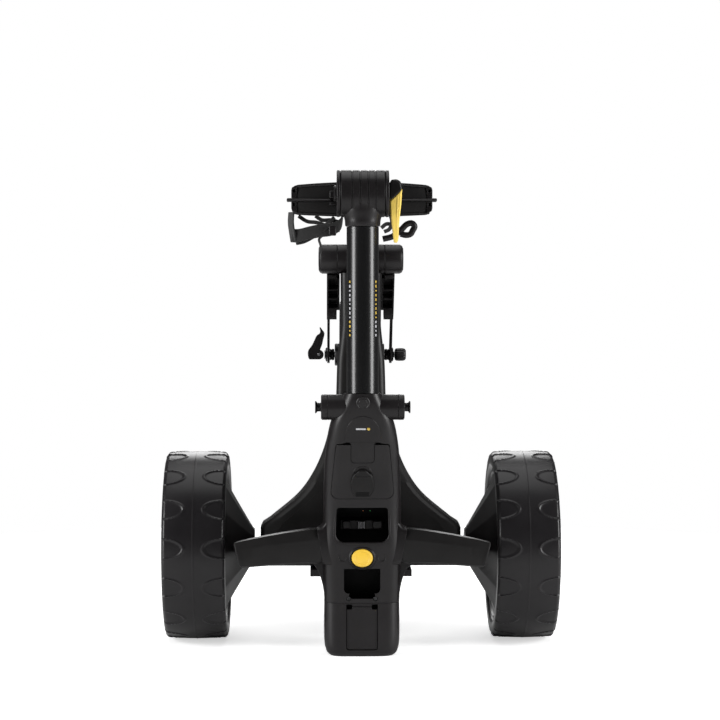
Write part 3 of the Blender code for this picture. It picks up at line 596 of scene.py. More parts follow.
def make_plates():
    """Arch-topped plate with a plain generic mark, and the boss at the top."""
    arch = [(0.0255, 0.33), (0.0255, 0.344)] + arc(0, 0.344, 0.0255, 12, 168, 15) + [(-0.0255, 0.344),
        (-0.0255, 0.33)]
    plate = skin("arch_plate", BODY_STATIONS[6:9], -0.0012, 0, BLACK)
    boolean(plate, skin("arch_inside", BODY_STATIONS[5:], -0.0001, 0.03, None, cutters))
    boolean(plate, outline("arch_edge", arch, -0.3, -0.22, None, group=cutters), "INTERSECT")
    bake(plate)
    ride("body", soften(plate, 0.0004, 2))
    slope = math.atan2(0.011, 0.035)
    for name, points, mat in (("plain_mark_bar", rounded(0.0075, -0.0012, 0.0012, 0.0011), WHITE_INK),
            ("plain_mark_dot", arc(0, 0, 0.0022, 0, 345, 24), YELLOW_INK)):
        x = -0.003 if "bar" in name else 0.0085
        rings = [[Vector((a, d, b)) for a, b in points] for d in (-0.0003, 0.0006)]
        mark = loft(name, rings, mat)
        mark.matrix_world = Matrix.Translation(at(x, front_at(0.3505) - 0.0012,
            0.3505)) @ Matrix.Rotation(slope, 4, "X")
        ride("body", mark, slot="grey_plastic" if "bar" in name else "yellow_plastic")
    lean = math.atan2(0.006, 0.025)
    boss = turned("top_boss", [(0, 0.001), (0.0102, 0.001), (0.0102, -0.001), (0.0094, -0.0016),
        (0.0084, -0.0016), (0.0078, -0.001), (0.0066, -0.001), (0.006, -0.0014), (0, -0.0017)],
        (0, -AXLE.y, 0), BLACK, "Y", 48)
    boss.matrix_world = Matrix.Translation(at(0, front_at(0.3895) + 0.001,
        0.3895)) @ Matrix.Rotation(lean, 4, "X")
    ride("body", boss)


def make_door():
    """Battery door with its latch, the latch's half-round recess rim and dark foot."""
    door = skin("door_moulding", BODY_STATIONS[3:9], -0.0006)
    boolean(door, skin("door_inside", BODY_STATIONS[2:], 0.0024, 0.03, None, cutters))
    boolean(door, outline("door_edge", door_outline(lowered=0.001), -0.3, -0.172, None,
        group=cutters), "INTERSECT")
    bake(door)
    ride("door", soften(door, 0.0008, 2, 40), cad="battery_door")
    lean = math.atan2(0.014, 0.04)
    hinge = Matrix.Translation(at(0, front_at(0.2665) - 0.003, 0.2665)) @ Matrix.Rotation(lean, 4, "X")
    shape = [(0.012, -0.0205), (0.017, -0.009), (0.0178, 0.0000), (0.015, 0.012), (0.012, 0.0165)]
    shape = shape + arc(0, 0.012, 0.011, 30, 150, 9) + [(-x, z) for x, z in reversed(shape)]
    rings = [[Vector((a * grow, d, b * grow)) for a, b in shape] for d, grow in ((0.0012, 1.0), (-0.0018, 1.0),
        (-0.003, 0.93))]
    latch = loft("latch_moulding", rings, ARM_BLACK)
    latch.matrix_world = hinge
    ride("latch", soften(latch, 0.0006, 2), cad="door_latch")
    for name, low, high, mat, out in (("latch_foot", (-0.01, -0.02), (0.01, -0.0125), DARK, -0.0034),
            ("latch_lip", (-0.0135, 0.0105), (0.0135, 0.0125), BLACK, -0.004)):
        rings = [[Vector((low[0], d, low[1])), Vector((high[0], d, low[1])), Vector((high[0], d, high[1])),
            Vector((low[0], d, high[1]))] for d in (-0.002, out)]
        trim = soften(loft(name, rings, mat), 0.0004, 2)
        trim.matrix_world = hinge
        ride("latch", trim)
    rim = [(0.0142 * math.cos(t), 0, 0.015 + 0.0125 * math.sin(t)) for t in np.linspace(0.1, math.pi - 0.1, 25)]
    halo = bent_tube("latch_recess_rim", [rim], 0.0007, BLACK)
    halo.matrix_world = hinge @ Matrix.Translation((0, 0.0016 - AXLE.y, 0))
    ride("door", halo)


def make_inside():
    """What shows in the window and the throat: socket, contacts and lamps, with deepest-black sheets and walls that
    paint the shade inside both openings.
    """
    low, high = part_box("power_socket")
    d0, d1 = low.y - AXLE.y, high.y - AXLE.y
    # Deepest-black sheet behind the socket: painted shade inside the window.
    ride("body", block("window_painted_shade_sheet", (-0.052, -0.13, 0.164), (0.052, -0.128, 0.24), DARK, 0.0005))
    ride("body", block("socket_moulding", (-0.033, d0, 0.1905), (0.033, d1, 0.205), BLACK, 0.0015),
        cad="power_socket")
    for x, half, mat in ((-0.0235, 0.006, BLACK), (-0.0005, 0.0055, DARK_STEEL), (0.024, 0.0075, BLACK)):
        ride("body", block("socket_post", (x - half, d0 - 0.014, 0.1925),
            (x + half, d0 + 0.001, 0.205), mat, 0.0018))
    for x in (-0.0048, -0.0012, 0.0036):
        ride("body", block("socket_contact", (x - 0.0007, d0 - 0.0155, 0.1935), (x + 0.0007, d0 - 0.012, 0.204),
            GREY, 0.0003), slot="grey_plastic")
    for name, x, mat in (("orange_lamp", 0.002, ORANGE_LAMP), ("green_lamp", 0.013, GREEN_LAMP)):
        ride("body", rod(name, (x, d0 - 0.006, 0.2195), 0.004, 0.0008, mat, "Y", 16, 0.0003),
            slot="yellow_plastic")
    # Deepest-black sheet and side walls: painted shade inside the opening under the button.
    ride("body", block("throat_painted_shade_sheet", (-0.045, -0.142, 0.085), (0.045, -0.14, 0.142), DARK, 0.0005))
    for side in (-1, 1):
        wall = block("throat_painted_shade_wall", (side * 0.03 - 0.001, -0.18, 0.088),
            (side * 0.03 + 0.001, -0.142, 0.1345), DARK, 0.0004)
        ride("body", wall)
        screw = turned("screw_head", [(0, 0.003), (0.0031, 0.003), (0.0031, -0.0002), (0.0026, -0.0008),
            (0.0012, -0.0008), (0.0012, 0.0005), (0, 0.0005)], (side * 0.0205, front_at(0.0885) + 0.003,
            0.0885), DARK_STEEL, "Y", 24)
        ride("body", screw, slot="steel")


def make_button():
    """Collar, domed yellow button wider than it is tall, and two faint round witness marks beside it."""
    low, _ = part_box("button_ring")
    face = low.y - AXLE.y
    radius = (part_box("release_button")[1].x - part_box("release_button")[0].x) / 2
    ring = turned("button_collar", [(radius + 0.0004, 0.008), (radius + 0.0004, 0.0008),
        (radius + 0.0012, -0.0002), (radius + 0.0024, -0.0004), (radius + 0.004, 0.0012),
        (radius + 0.005, 0.004), (radius + 0.002, 0.008)], (0, face, BUTTON.z), BLACK, "Y", 64)
    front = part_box("release_button")[0].y - AXLE.y
    dome = turned("button_dome", [(0, 0.005), (radius - 0.0004, 0.005), (radius, 0.004), (radius, 0.0028),
        (radius - 0.0007, 0.0012), (radius - 0.002, 0.0003), (radius - 0.0042, 0.0000),
        (radius - 0.005, 0.0005), (radius - 0.0058, 0.0001), (0.0045, -0.0004), (0, -0.0006)],
        (0, front, BUTTON.z), YELLOW, "Y", 72)
    for piece in (ring, dome):
        for vertex in piece.data.vertices:
            vertex.co.x *= 1.17
    stem = turned("button_stem", [(0, 0.01), (radius - 0.0008, 0.01), (radius - 0.0008, 0.0048), (0, 0.0048)],
        (0, front, BUTTON.z), YELLOW, "Y", 48)
    ride("body", ring, cad="button_ring")
    ride("button", dome, stem, slot="yellow_plastic", cad="release_button")
    for side in (-1, 1):
        disc = turned("witness_disc", [(0.0066, 0.0006), (0.0066, -0.0003), (0.0058, -0.0006),
            (0.0052, -0.0003), (0.0052, 0.0006)], (side * 0.03, front_at(BUTTON.z) + 0.0006,
            BUTTON.z), BLACK, "Y", 40)
        ride("body", disc)


def make_tail():
    """Tail box with its seam, recess, cover panel and two square notches."""
    box = skin("tail_moulding", TAIL_STATIONS)
    inner = [(0.005, *TAIL_STATIONS[2][1:]), (0.09, *TAIL_STATIONS[4][1:])]
    boolean(box, skin("tail_hollow", inner, 0.003, 0, None, cutters, 2))
    boolean(box, outline("tail_recess", rounded(0.024, 0.01, 0.077, 0.004), -0.25, -0.1808,
        None, group=cutters))
    for side in (-1, 1):
        boolean(box, block("tail_notch", (side * 0.0195 - 0.0045, -0.25, 0.073),
            (side * 0.0195 + 0.0045, -0.178, 0.08), None, 0, cutters))
    bake(box)
    ride("body", soften(box, 0.0007, 2, 40), cad="tail_box")
    low, high, half, step, notch = 0.0108, 0.0764, 0.0234, 0.0145, 0.0722
    edge = arc(half - 0.0035, low + 0.0035, 0.0035, -90, 0, 6) + [(half, notch), (step, notch), (step, high)]
    cover = outline("tail_cover_panel", mirrored(edge), -0.1836, -0.1808, BLACK, bevel=0.0005)
    ride("body", cover, cad="tail_cover")


def make_arms():
    """Lower bag-rest arms with slanting ends, the collar at each root and the gusset under it."""
    for side, name in SIDES:
        rings = []
        for x, depth, half, low, high in dense(ARM_STATIONS, 6):
            tall = high - low
            section = [(-half * 0.55, high), (half * 0.75, high), (half, high - tall * 0.08),
                (half, low + tall * 0.1), (half * 0.75, low), (-half * 0.6, low),
                (-half * 0.92, low + tall * 0.07), (-half, low + tall * 0.18), (-half, high - tall * 0.3),
                (-half * 0.93, high - tall * 0.245)]
            slant = 0.0095 * max(0.0, (x - 0.15) / 0.0435)
            rings.append([at(side * (x - slant * (high - z) / tall), depth + d, z) for d, z in section])
        arm = loft("arm_moulding_" + name, rings, ARM_BLACK, angle=25)
        ride("body", soften(arm, 0.002, 3, 24), cad="bag_rest_arm_" + name)
        flare = []
        for x, grow, lean in ((0.052, 0.015, 0.006), (0.056, 0.0096, 0.004), (0.06, 0.0052, 0.002),
                (0.064, 0.0026, 0.001), (0.068, 0.0016, 0.0), (0.0685, 0.0004, 0.0)):
            section = rounded(0.0205 + grow * 0.25, 0.142 - grow * 0.62, 0.195 + grow, 0.009)
            flare.append([at(side * (x - 0.18 * (0.195 - z)), -0.1708 + d + (1 if d < 0 else 0) * lean, z)
                for d, z in section])
        collar = loft("arm_collar_" + name, flare, BLACK, angle=40)
        ride("body", collar)
        curve = [(side * x, z) for x, z in smooth_route([(0.0785, 0.144), (0.07, 0.134), (0.064, 0.122),
            (0.06, 0.108), (0.058, 0.096)], 4)]
        web = outline("arm_gusset_" + name, [(side * 0.054, 0.144)] + curve + [(side * 0.054, 0.096)], -0.168,
            -0.142, BLACK, bevel=0.0012)
        ride("body", web)


def make_barrel():
    """Cross barrel at the foot of the tube, with end caps, seams and spool-shaped strap lugs."""
    half = 0.0532
    barrel = turned("strap_barrel", [(0, -half), (0.0183, -half), (0.019, -half + 0.0008),
        (0.019, half - 0.0008), (0.0183, half), (0, half)], (0, TUBE_DEPTH, STRAP_BARREL_Z), BLACK, "X", 64)
    ride("body", barrel, cad="strap_barrel_left strap_barrel_right")
    for side, name in SIDES:
        profile = [(0, 0.0183), (0.0088, 0.0183), (0.0092, 0.0178), (0.009, 0.0166), (0.0066, 0.015),
            (0.0064, 0.0104), (0.0072, 0.0096), (0.0172, 0.0094), (0.019, 0.008), (0.0192, 0.0006),
            (0.0184, 0), (0, 0)]
        cap = turned("barrel_end_" + name, sided(profile, side), (side * 0.0528, TUBE_DEPTH,
            STRAP_BARREL_Z), BLACK, "X", 56)
        ride("body", cap, cad="barrel_cap_" + name)


make_body()
make_plates()
make_door()
make_inside()
make_button()
make_tail()
make_arms()
make_barrel()


# --- tube, tee and cam
def make_tube():
    """Gloss tube with a row of plain dashes down each side."""
    low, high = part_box("main_tube")
    radius = (high.x - low.x) / 2
    tube = turned("tube_coated", [(radius - 0.002, low.z), (radius, low.z + 0.0004), (radius, high.z - 0.0004),
        (radius - 0.002, high.z)], (0, TUBE_DEPTH, 0), TUBE, "Z", 96)
    ride("body", tube, slot="frame_tube", cad="main_tube")
    for side in (-1, 1):
        for i in range(13):
            z = 0.49 + 0.0066 * i
            mat = (WHITE_INK, YELLOW_INK)[1 if (i < 4) == (side < 0) or i == 12 else 0]
            size = (0.0034, 0.0022, 0.004)[i % 3]
            points = []
            for turn in (-3.5, 3.5):
                t = math.radians(-90 + side * (53 + turn))
                points.append((radius + 0.0003, t))
            ring_low = [at(r * math.cos(t), TUBE_DEPTH + r * math.sin(t), z - size / 2)
                for r, t in points + [(radius - 0.0004, t) for _, t in reversed(points)]]
            ring_high = [p + Vector((0, 0, size)) for p in ring_low]
            dash = loft("plain_dash", [ring_low, ring_high], mat)
            ride("body", dash, slot="grey_plastic" if mat is WHITE_INK else "yellow_plastic")


def make_tee():
    """Tee head with shallow grooves and a flared neck, its two side cheeks and a bolt cap."""
    low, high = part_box("tee_head")
    half, radius = (high.x - low.x) / 2, high.z - TEE.z
    profile = [(0.01, -half), (radius - 0.0016, -half), (radius, -half + 0.0016)]
    for x in (-0.016, -0.004, 0.008, 0.019):
        profile += [(radius, x - 0.0014), (radius - 0.0009, x - 0.0007), (radius - 0.0009, x + 0.0007),
            (radius, x + 0.0014)]
    profile += [(radius, half - 0.0016), (radius - 0.0016, half), (0.01, half)]
    head = turned("tee_moulding", profile, TEE_MIDDLE, BLACK, "X", 96)
    rings = []
    for z, half_x, half_y in ((0.6515, 0.025, 0.025), (0.653, 0.0262, 0.0262), (0.66, 0.0266, 0.0266),
            (0.665, 0.0278, 0.0274), (0.67, 0.0298, 0.0288), (0.676, 0.0318, 0.0302), (0.688, 0.033, 0.031)):
        rings.append([at(half_x * math.cos(t), TUBE_DEPTH + half_y * math.sin(t), z)
            for t in np.linspace(0, 2 * math.pi, 64, endpoint=False)])
    boolean(head, loft("tee_neck", rings, None, cutters), "UNION")
    bake(head, 40)
    ride("body", soften(head, 0.0015, 3, 45), cad="tee_head")
    for side, name in SIDES:
        x0, x1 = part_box("tee_cheek_" + name)[0].x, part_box("tee_cheek_" + name)[1].x
        ring = arc(TUBE_DEPTH, TEE.z, 0.035, 90, 270, 40) + [(-0.192, TEE.z - 0.026), (-0.192, TEE.z + 0.026)]
        cheek = outline("cheek_" + name, ring, x0, x1, BLACK, "YZ", bevel=0.0012)
        boolean(cheek, rod("cheek_bore", (x0 - 0.01, TUBE_DEPTH, TEE.z), 0.03, 0.0083, None, "X",
            40, group=cutters))
        ride("upper_frame", cheek, cad="tee_cheek_" + name)
    washer = turned("bolt_cap_left", [(0, -0.043), (0.01, -0.043), (0.012, -0.0415), (0.012, -0.0391),
        (0, -0.0391)], TEE_MIDDLE, BLACK, "X", 48)
    ride("body", washer)


def make_cam():
    """Black cam hub and the tapering yellow lever, with the lever's raised spine."""
    low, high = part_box("cam_hub")
    x, pivot_z = (low.x + high.x) / 2, high.z - 0.0094
    hub = arc(x, pivot_z, 0.0094, 180, 0, 20) + arc(x, pivot_z - 0.0145, 0.0094, 0, -180, 20)
    ride("cam", outline("cam_moulding", hub, TUBE_DEPTH - 0.002, TUBE_DEPTH + 0.015, BLACK,
        bevel=0.0022), cad="cam_hub")
    crown = [(x - 0.0088, 0.703)] + smooth_route(((x - 0.0088, 0.715), (x - 0.006, 0.7205), (x + 0.001, 0.72),
        (x + 0.007, 0.7155), (x + 0.0092, 0.708)), 5)
    crown += [(x + 0.0086, 0.705), (x - 0.004, 0.6925), (x - 0.0088, 0.6915)]
    ride("cam", outline("cam_crown", crown, TUBE_DEPTH - 0.0112, TUBE_DEPTH - 0.0022, BLACK, bevel=0.002))
    left = smooth_route(((0.04, 0.691), (0.0406, 0.676), (0.042, 0.662), (0.0442, 0.644), (0.0456, 0.632),
        (0.0466, 0.6275)), 5)
    right = smooth_route(((0.0508, 0.6272), (0.053, 0.633), (0.0536, 0.648), (0.0552, 0.668), (0.0572, 0.686),
        (0.058, 0.7), (0.0584, 0.707)), 5)
    rings = []
    middle = x
    for depth, shrink in ((-0.002, 1.0), (-0.0085, 1.0), (-0.0108, 0.8)):
        rings.append([at(middle + (a - middle) * shrink, TUBE_DEPTH + depth,
            0.664 + (b - 0.664) * (0.5 + shrink / 2)) for a, b in left + right])
    lever = loft("cam_lever_moulding", rings, LEVER_YELLOW)
    ride("cam", soften(lever, 0.0014, 3, 30), slot="yellow_plastic", cad="cam_lever")
    groove = bent_tube("cam_lever_spine", [smooth_route(((x + 0.003, TUBE_DEPTH - 0.0106, 0.696),
        (x + 0.0024, TUBE_DEPTH - 0.0106, 0.67), (x + 0.0018, TUBE_DEPTH - 0.0102, 0.642)), 8)],
        0.0008, LEVER_YELLOW)
    ride("cam", groove, slot="yellow_plastic")


make_tube()
make_tee()
make_cam()


# --- chassis
WING_FRONT, WING_BACK = -0.095, -0.05
KNUCKLE_RADIUS, PIN_BORE = 0.023, 0.0068
FRONT_RADIUS, FRONT_HALF_WIDTH = 0.092, 0.032


def wing_edge(inset=0.0):
    """The flared outline, both sides, set in by a distance."""
    right = [(0.146 - inset, 0.1255 + inset), (0.1535 - inset, 0.129 + inset),
        (0.157 - inset, 0.138 + inset * 0.5), (0.157 - inset, 0.186 - inset * 0.2),
        (0.1535 - inset * 1.1, 0.1935 - inset * 0.4)]
    curve = [(x - inset * 0.9, z - inset * 0.25) for x, z in dense(WING_CURVE, 6)]
    right += curve
    return mirrored(right)


def make_chassis():
    """Flared chassis with rounded edges and a faint raised panel; its back cover, screws and ribs."""
    rings = []
    for depth, inset in ((WING_BACK, 0.0), (WING_FRONT + 0.016, 0.0), (WING_FRONT + 0.007, 0.0022),
            (WING_FRONT + 0.002, 0.0065), (WING_FRONT, 0.012)):
        rings.append([at(x, depth, z) for x, z in wing_edge(inset)])
    shell = loft("chassis_moulding", rings, WING_BLACK, angle=22)
    hollow = outline("chassis_hollow", wing_edge(0.004), WING_FRONT + 0.006, WING_BACK + 0.02,
        None, group=cutters)
    boolean(shell, hollow)
    bake(shell, 22)
    ride("chassis", shell, cad="chassis_shell")
    panel = outline("chassis_panel", wing_edge(0.023), WING_FRONT - 0.0005, WING_FRONT + 0.002, WING_BLACK)
    ride("chassis", panel)
    back = outline("chassis_back_moulding", wing_edge(0.0044), WING_BACK - 0.0038, WING_BACK - 0.0006,
        BLACK, bevel=0.0008)
    ride("chassis", back, cad="chassis_back_cover")
    for side in (-1, 1):
        for x, z in ((0.145, 0.14), (0.14, 0.186), (0.062, 0.27), (0.035, 0.375), (0.03, 0.14)):
            screw = turned("cover_screw", [(0, 0.002), (0.0034, 0.0018), (0.0038, 0.0004), (0.0038, -0.001),
                (0, -0.001)], (side * x, WING_BACK, z), DARK_STEEL, "Y", 24)
            ride("chassis", screw, slot="steel")
        rib_route = [(side * 0.128, WING_BACK + 0.0004, 0.15), (side * 0.1, WING_BACK + 0.0004, 0.205),
            (side * 0.055, WING_BACK + 0.0004, 0.262), (side * 0.028, WING_BACK + 0.0004, 0.33),
            (side * 0.022, WING_BACK + 0.0004, 0.38)]
        ride("chassis", bent_tube("back_cover_rib", [smooth_route(rib_route, 6)], 0.0022, BLACK))


def make_neck():
    """Tapering neck between the chassis and the fork's hinge, and the hinge's middle barrel."""
    front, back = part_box("neck_beam")[0].y - AXLE.y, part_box("neck_beam")[1].y - AXLE.y
    middle, half_depth = (front + back) / 2, (back - front) / 2
    rings = []
    for z, half in dense(((0.3943, 0.0384), (0.445, 0.0368), (0.47, 0.0344), (0.5, 0.0312), (0.52, 0.0312),
            (0.584, 0.0317)), 6):
        rings.append([at(x, middle + d, z) for x, d in rounded(half, -half_depth, half_depth, 0.011, 7)])
    neck = loft("neck_moulding", rings, WING_BLACK, angle=40)
    boolean(neck, rod("neck_trim", (-0.05, FORK_DEPTH, FORK_Z), 0.1, 0.0226, None, "X", 64, group=cutters))
    bake(neck, 40)
    ride("chassis", neck, cad="neck_beam")
    radius, half, ease = KNUCKLE_RADIUS, 0.0369, 0.0008
    profile = [(PIN_BORE, -half), (radius - ease, -half), (radius, -half + ease), (radius, half - ease),
        (radius - ease, half), (PIN_BORE, half)]
    ride("chassis", turned("knuckle_moulding", profile, FORK_MIDDLE, BLACK, "X", 64), cad="neck_knuckle")
    for side, name in SIDES:
        low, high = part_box("gearbox_" + name)
        box = block("gearbox_case_" + name, *node_box("gearbox_" + name), BLACK, 0.004)
        boolean(box, rod("gearbox_hole", (low.x - 0.01, 0, AXLE.z), 0.09, 0.0086, None, "X", 32, group=cutters))
        ride("chassis", box, cad="gearbox_" + name)
        for i in range(5):
            x = low.x + (high.x - low.x) * (i + 1) / 6
            fin = block("gearbox_fin", (x - 0.0012, high.y - AXLE.y - 0.002, low.z + 0.006),
                (x + 0.0012, high.y - AXLE.y + 0.0025, high.z - 0.006), BLACK, 0.0005)
            ride("chassis", fin)
        seal = [(0.009, 0.0), (0.017, 0.0), (0.017, 0.005), (0.015, 0.008), (0.009, 0.009)]
        ride("chassis", turned("shaft_seal_" + name, sided(seal, side, 0.1482), (0, 0, AXLE.z), DARK, "X", 48))


# --- fork and front wheel
RUN_DOWN = Vector((FRONT_DEPTH - FORK_DEPTH, FRONT_Z - FORK_Z))
REACH = RUN_DOWN.length
RUN_DOWN.normalize()
TO_BACK = Vector((-RUN_DOWN.y, RUN_DOWN.x))


def down_fork(distance, offset):
    """Depth and height of a point down the fork, offset to its far side."""
    spot = Vector((FORK_DEPTH, FORK_Z)) + RUN_DOWN * distance + TO_BACK * offset
    return spot.x, spot.y


def make_fork():
    """Fork legs: hinge barrels, channel-shaped arms with cross ribs, thin plates, washers and spacers."""
    for side, name in SIDES:
        x_in, x_out = side * 0.037, side * 0.066
        radius = KNUCKLE_RADIUS
        profile = [(PIN_BORE, x_in), (radius - 0.0008, x_in), (radius, x_in + side * 0.0008),
            (radius, x_out - side * 0.006), (radius - 0.002, x_out - side * 0.0022),
            (radius - 0.006, x_out - side * 0.0003), (0.0075, x_out), (PIN_BORE, x_out - side * 0.0006)]
        barrel = turned("fork_barrel_" + name, profile, FORK_MIDDLE, BLACK, "X", 64)
        ride("fork", barrel, cad="fork_leg_" + name)
        web = [down_fork(0.02, -0.016), down_fork(0.02, 0.016), down_fork(0.096, 0.015),
            down_fork(0.114, 0.008), down_fork(0.114, -0.008), down_fork(0.096, -0.015)]
        low, high = sorted((side * 0.0372, side * 0.0528))
        arm = outline("fork_arm_" + name, web, low, high, BLACK, "YZ")
        rail = [down_fork(0.0266, -0.0152), down_fork(0.0266, 0.0152), down_fork(0.09, 0.0145),
            down_fork(0.09, -0.0145)]
        low, high = sorted((side * 0.0328, side * 0.04))
        boolean(arm, outline("fork_rail", rail, low, high, None, "YZ", cutters), "UNION")
        for near, far in ((0.0275, 0.048), (0.051, 0.066), (0.069, 0.086)):
            for d0, d1 in ((-0.026, -0.003), (0.003, 0.026)):
                pocket = [down_fork(near, d0), down_fork(near, d1), down_fork(far, d1), down_fork(far, d0)]
                p_low, p_high = sorted((side * 0.0352, side * 0.0502))
                boolean(arm, outline("fork_pocket", pocket, p_low, p_high, None, "YZ", cutters))
        bake(arm)
        ride("fork", soften(arm, 0.0005, 2, 40))
        turn = math.degrees(math.atan2(RUN_DOWN.y, RUN_DOWN.x))
        plate = [down_fork(0.1, -0.0078), down_fork(0.1, 0.0078)]
        plate += list(reversed(arc(*down_fork(REACH, 0), 0.014, turn - 90, turn + 90, 20)))
        low, high = sorted((side * 0.048, side * 0.052))
        ride("fork", outline("fork_tip_" + name, plate, low, high, BLACK, "YZ", bevel=0.0008))
        washer = [(0.0052, 0.0522), (0.011, 0.0522), (0.0115, 0.0535), (0.009, 0.0548), (0.0052, 0.0548)]
        washer = turned("axle_washer_" + name, sided(washer, side), FRONT_MIDDLE, DARK_STEEL, "X", 40)
        ride("fork", washer, slot="steel")
        spacer = [(0.0056, 0.0405), (0.0085, 0.0405), (0.0095, 0.043), (0.0085, 0.0455), (0.0095, 0.0478),
            (0.0056, 0.0478)]
        ride("fork", turned("axle_spacer_" + name, sided(spacer, side), FRONT_MIDDLE, BLACK, "X", 40))


def make_axle_fittings():
    """Knurled nut at the right; quick-release lever, its pin and its seat at the left."""
    low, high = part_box("axle_nut")
    x0, length, lobes = low.x, high.x - low.x, 14
    rings = []
    for share, radius in ((0.0, 0.0078), (0.1, 0.0094), (0.28, 0.0099), (0.72, 0.0099),
            (0.9, 0.009), (1.0, 0.007)):
        ring = []
        for t in round_points(lobes * 6):
            knurl = 1.0 + 0.055 * math.cos(lobes * t) * (1.0 if 0.05 < share < 0.95 else 0.2)
            ring.append(at(x0 + length * share, *circled(FRONT_MIDDLE[1:], radius * knurl, t)))
        rings.append(ring)
    ride("fork", loft("axle_nut_moulding", rings, BLACK, angle=50), cad="axle_nut")
    pivot = -0.0655
    shape = arc(pivot, FRONT_Z, 0.0078, -90, 78, 14)
    shape += smooth_route([(pivot + 0.0026, FRONT_Z + 0.0092), (-0.0601, FRONT_Z + 0.017),
        (-0.0586, FRONT_Z + 0.024), (-0.0564, FRONT_Z + 0.034), (-0.06, FRONT_Z + 0.04),
        (-0.063, FRONT_Z + 0.0443)], 4)[1:]
    shape += smooth_route([(-0.0646, FRONT_Z + 0.0434), (-0.0632, FRONT_Z + 0.0375), (-0.065, FRONT_Z + 0.0335),
        (-0.0697, FRONT_Z + 0.0295), (-0.076, FRONT_Z + 0.016), (-0.0828, FRONT_Z + 0.006),
        (-0.0828, FRONT_Z - 0.003), (-0.0808, FRONT_Z - 0.0078)], 4)
    lever = outline("quick_release_moulding", shape, FRONT_DEPTH - 0.0078, FRONT_DEPTH + 0.0078,
        BLACK, bevel=0.0018)
    ride("quick_release", lever, cad="quick_release_lever")
    pin = rod("quick_release_pin", (pivot, FRONT_DEPTH - 0.0086, FRONT_Z), 0.0172, 0.0024, STEEL,
        "Y", 24, 0.0004)
    ride("quick_release", pin, slot="steel")
    seat = [(0.0053, -0.0564), (0.007, -0.0564), (0.007, -0.055), (0.0053, -0.055)]
    ride("fork", turned("lever_seat", seat, FRONT_MIDDLE, BLACK, "X", 40))


def front_tread(a, angle):
    """Radius of the front tyre with short cross bars at its shoulders."""
    radius = FRONT_RADIUS
    share = abs(a) / FRONT_HALF_WIDTH
    base = radius - 0.0012 - 0.0026 * share ** 2 - 0.005 * max(0.0, share - 0.78) ** 2 / 0.0484
    pitch = 2 * math.pi / 30
    local = ((angle + pitch / 2) % pitch - pitch / 2) * radius
    bar = 1.0 / (1.0 + math.exp((abs(local) - 0.003) * 2600)) * (1.0 / (1.0 + math.exp((0.42 - share) * 30)))
    return min(base + 0.001 * bar, radius)


def make_front_wheel():
    """Front tyre with its own tread, and a six-spoke hub."""
    half = FRONT_HALF_WIDTH
    across = np.linspace(-half + 0.0006, half - 0.0006, 33)
    around = 420
    bead = [(-half + 0.004, 0.065), (-half + 0.0008, 0.068), (-half + 0.0002, 0.076), (-half + 0.0002, 0.082)]
    rings = []
    for t in round_points(around):
        section = list(bead) + [(a, front_tread(a, t)) for a in across] + [(-a, r) for a, r in reversed(bead)]
        rings.append([at(a, *circled(FRONT_MIDDLE[1:], r, t)) for a, r in section])
    ride("front_wheel", ring_body("front_tyre_moulding", rings, RUBBER, 50), slot="tyre", cad="front_tyre")
    rings = []
    for t in round_points(144):
        lobe = 0.5 + 0.5 * math.cos(6 * t)
        rib = 1.0 / (1.0 + math.exp(-(lobe - 0.6) * 20.0))
        web = [(0.0185, 0.012), (0.03, 0.004 + 0.01 * rib), (0.045, 0.003 + 0.012 * rib),
            (0.0575, 0.004 + 0.016 * rib), (0.06, 0.024), (0.0615, 0.0265), (0.0645, 0.0268)]
        section = [(0.0056, -0.0398), (0.017, -0.0398), (0.018, -0.0385)] + [(r, -h) for r, h in web]
        section += [(r, h) for r, h in reversed(web)] + [(0.018, 0.0385), (0.017, 0.0398), (0.0056, 0.0398)]
        rings.append([at(a, *circled(FRONT_MIDDLE[1:], r, t)) for r, a in section])
    ride("front_wheel", ring_body("front_hub_moulding", rings, BLACK, 38), cad="front_hub")


make_chassis()
make_neck()
make_fork()
make_axle_fittings()
make_front_wheel()


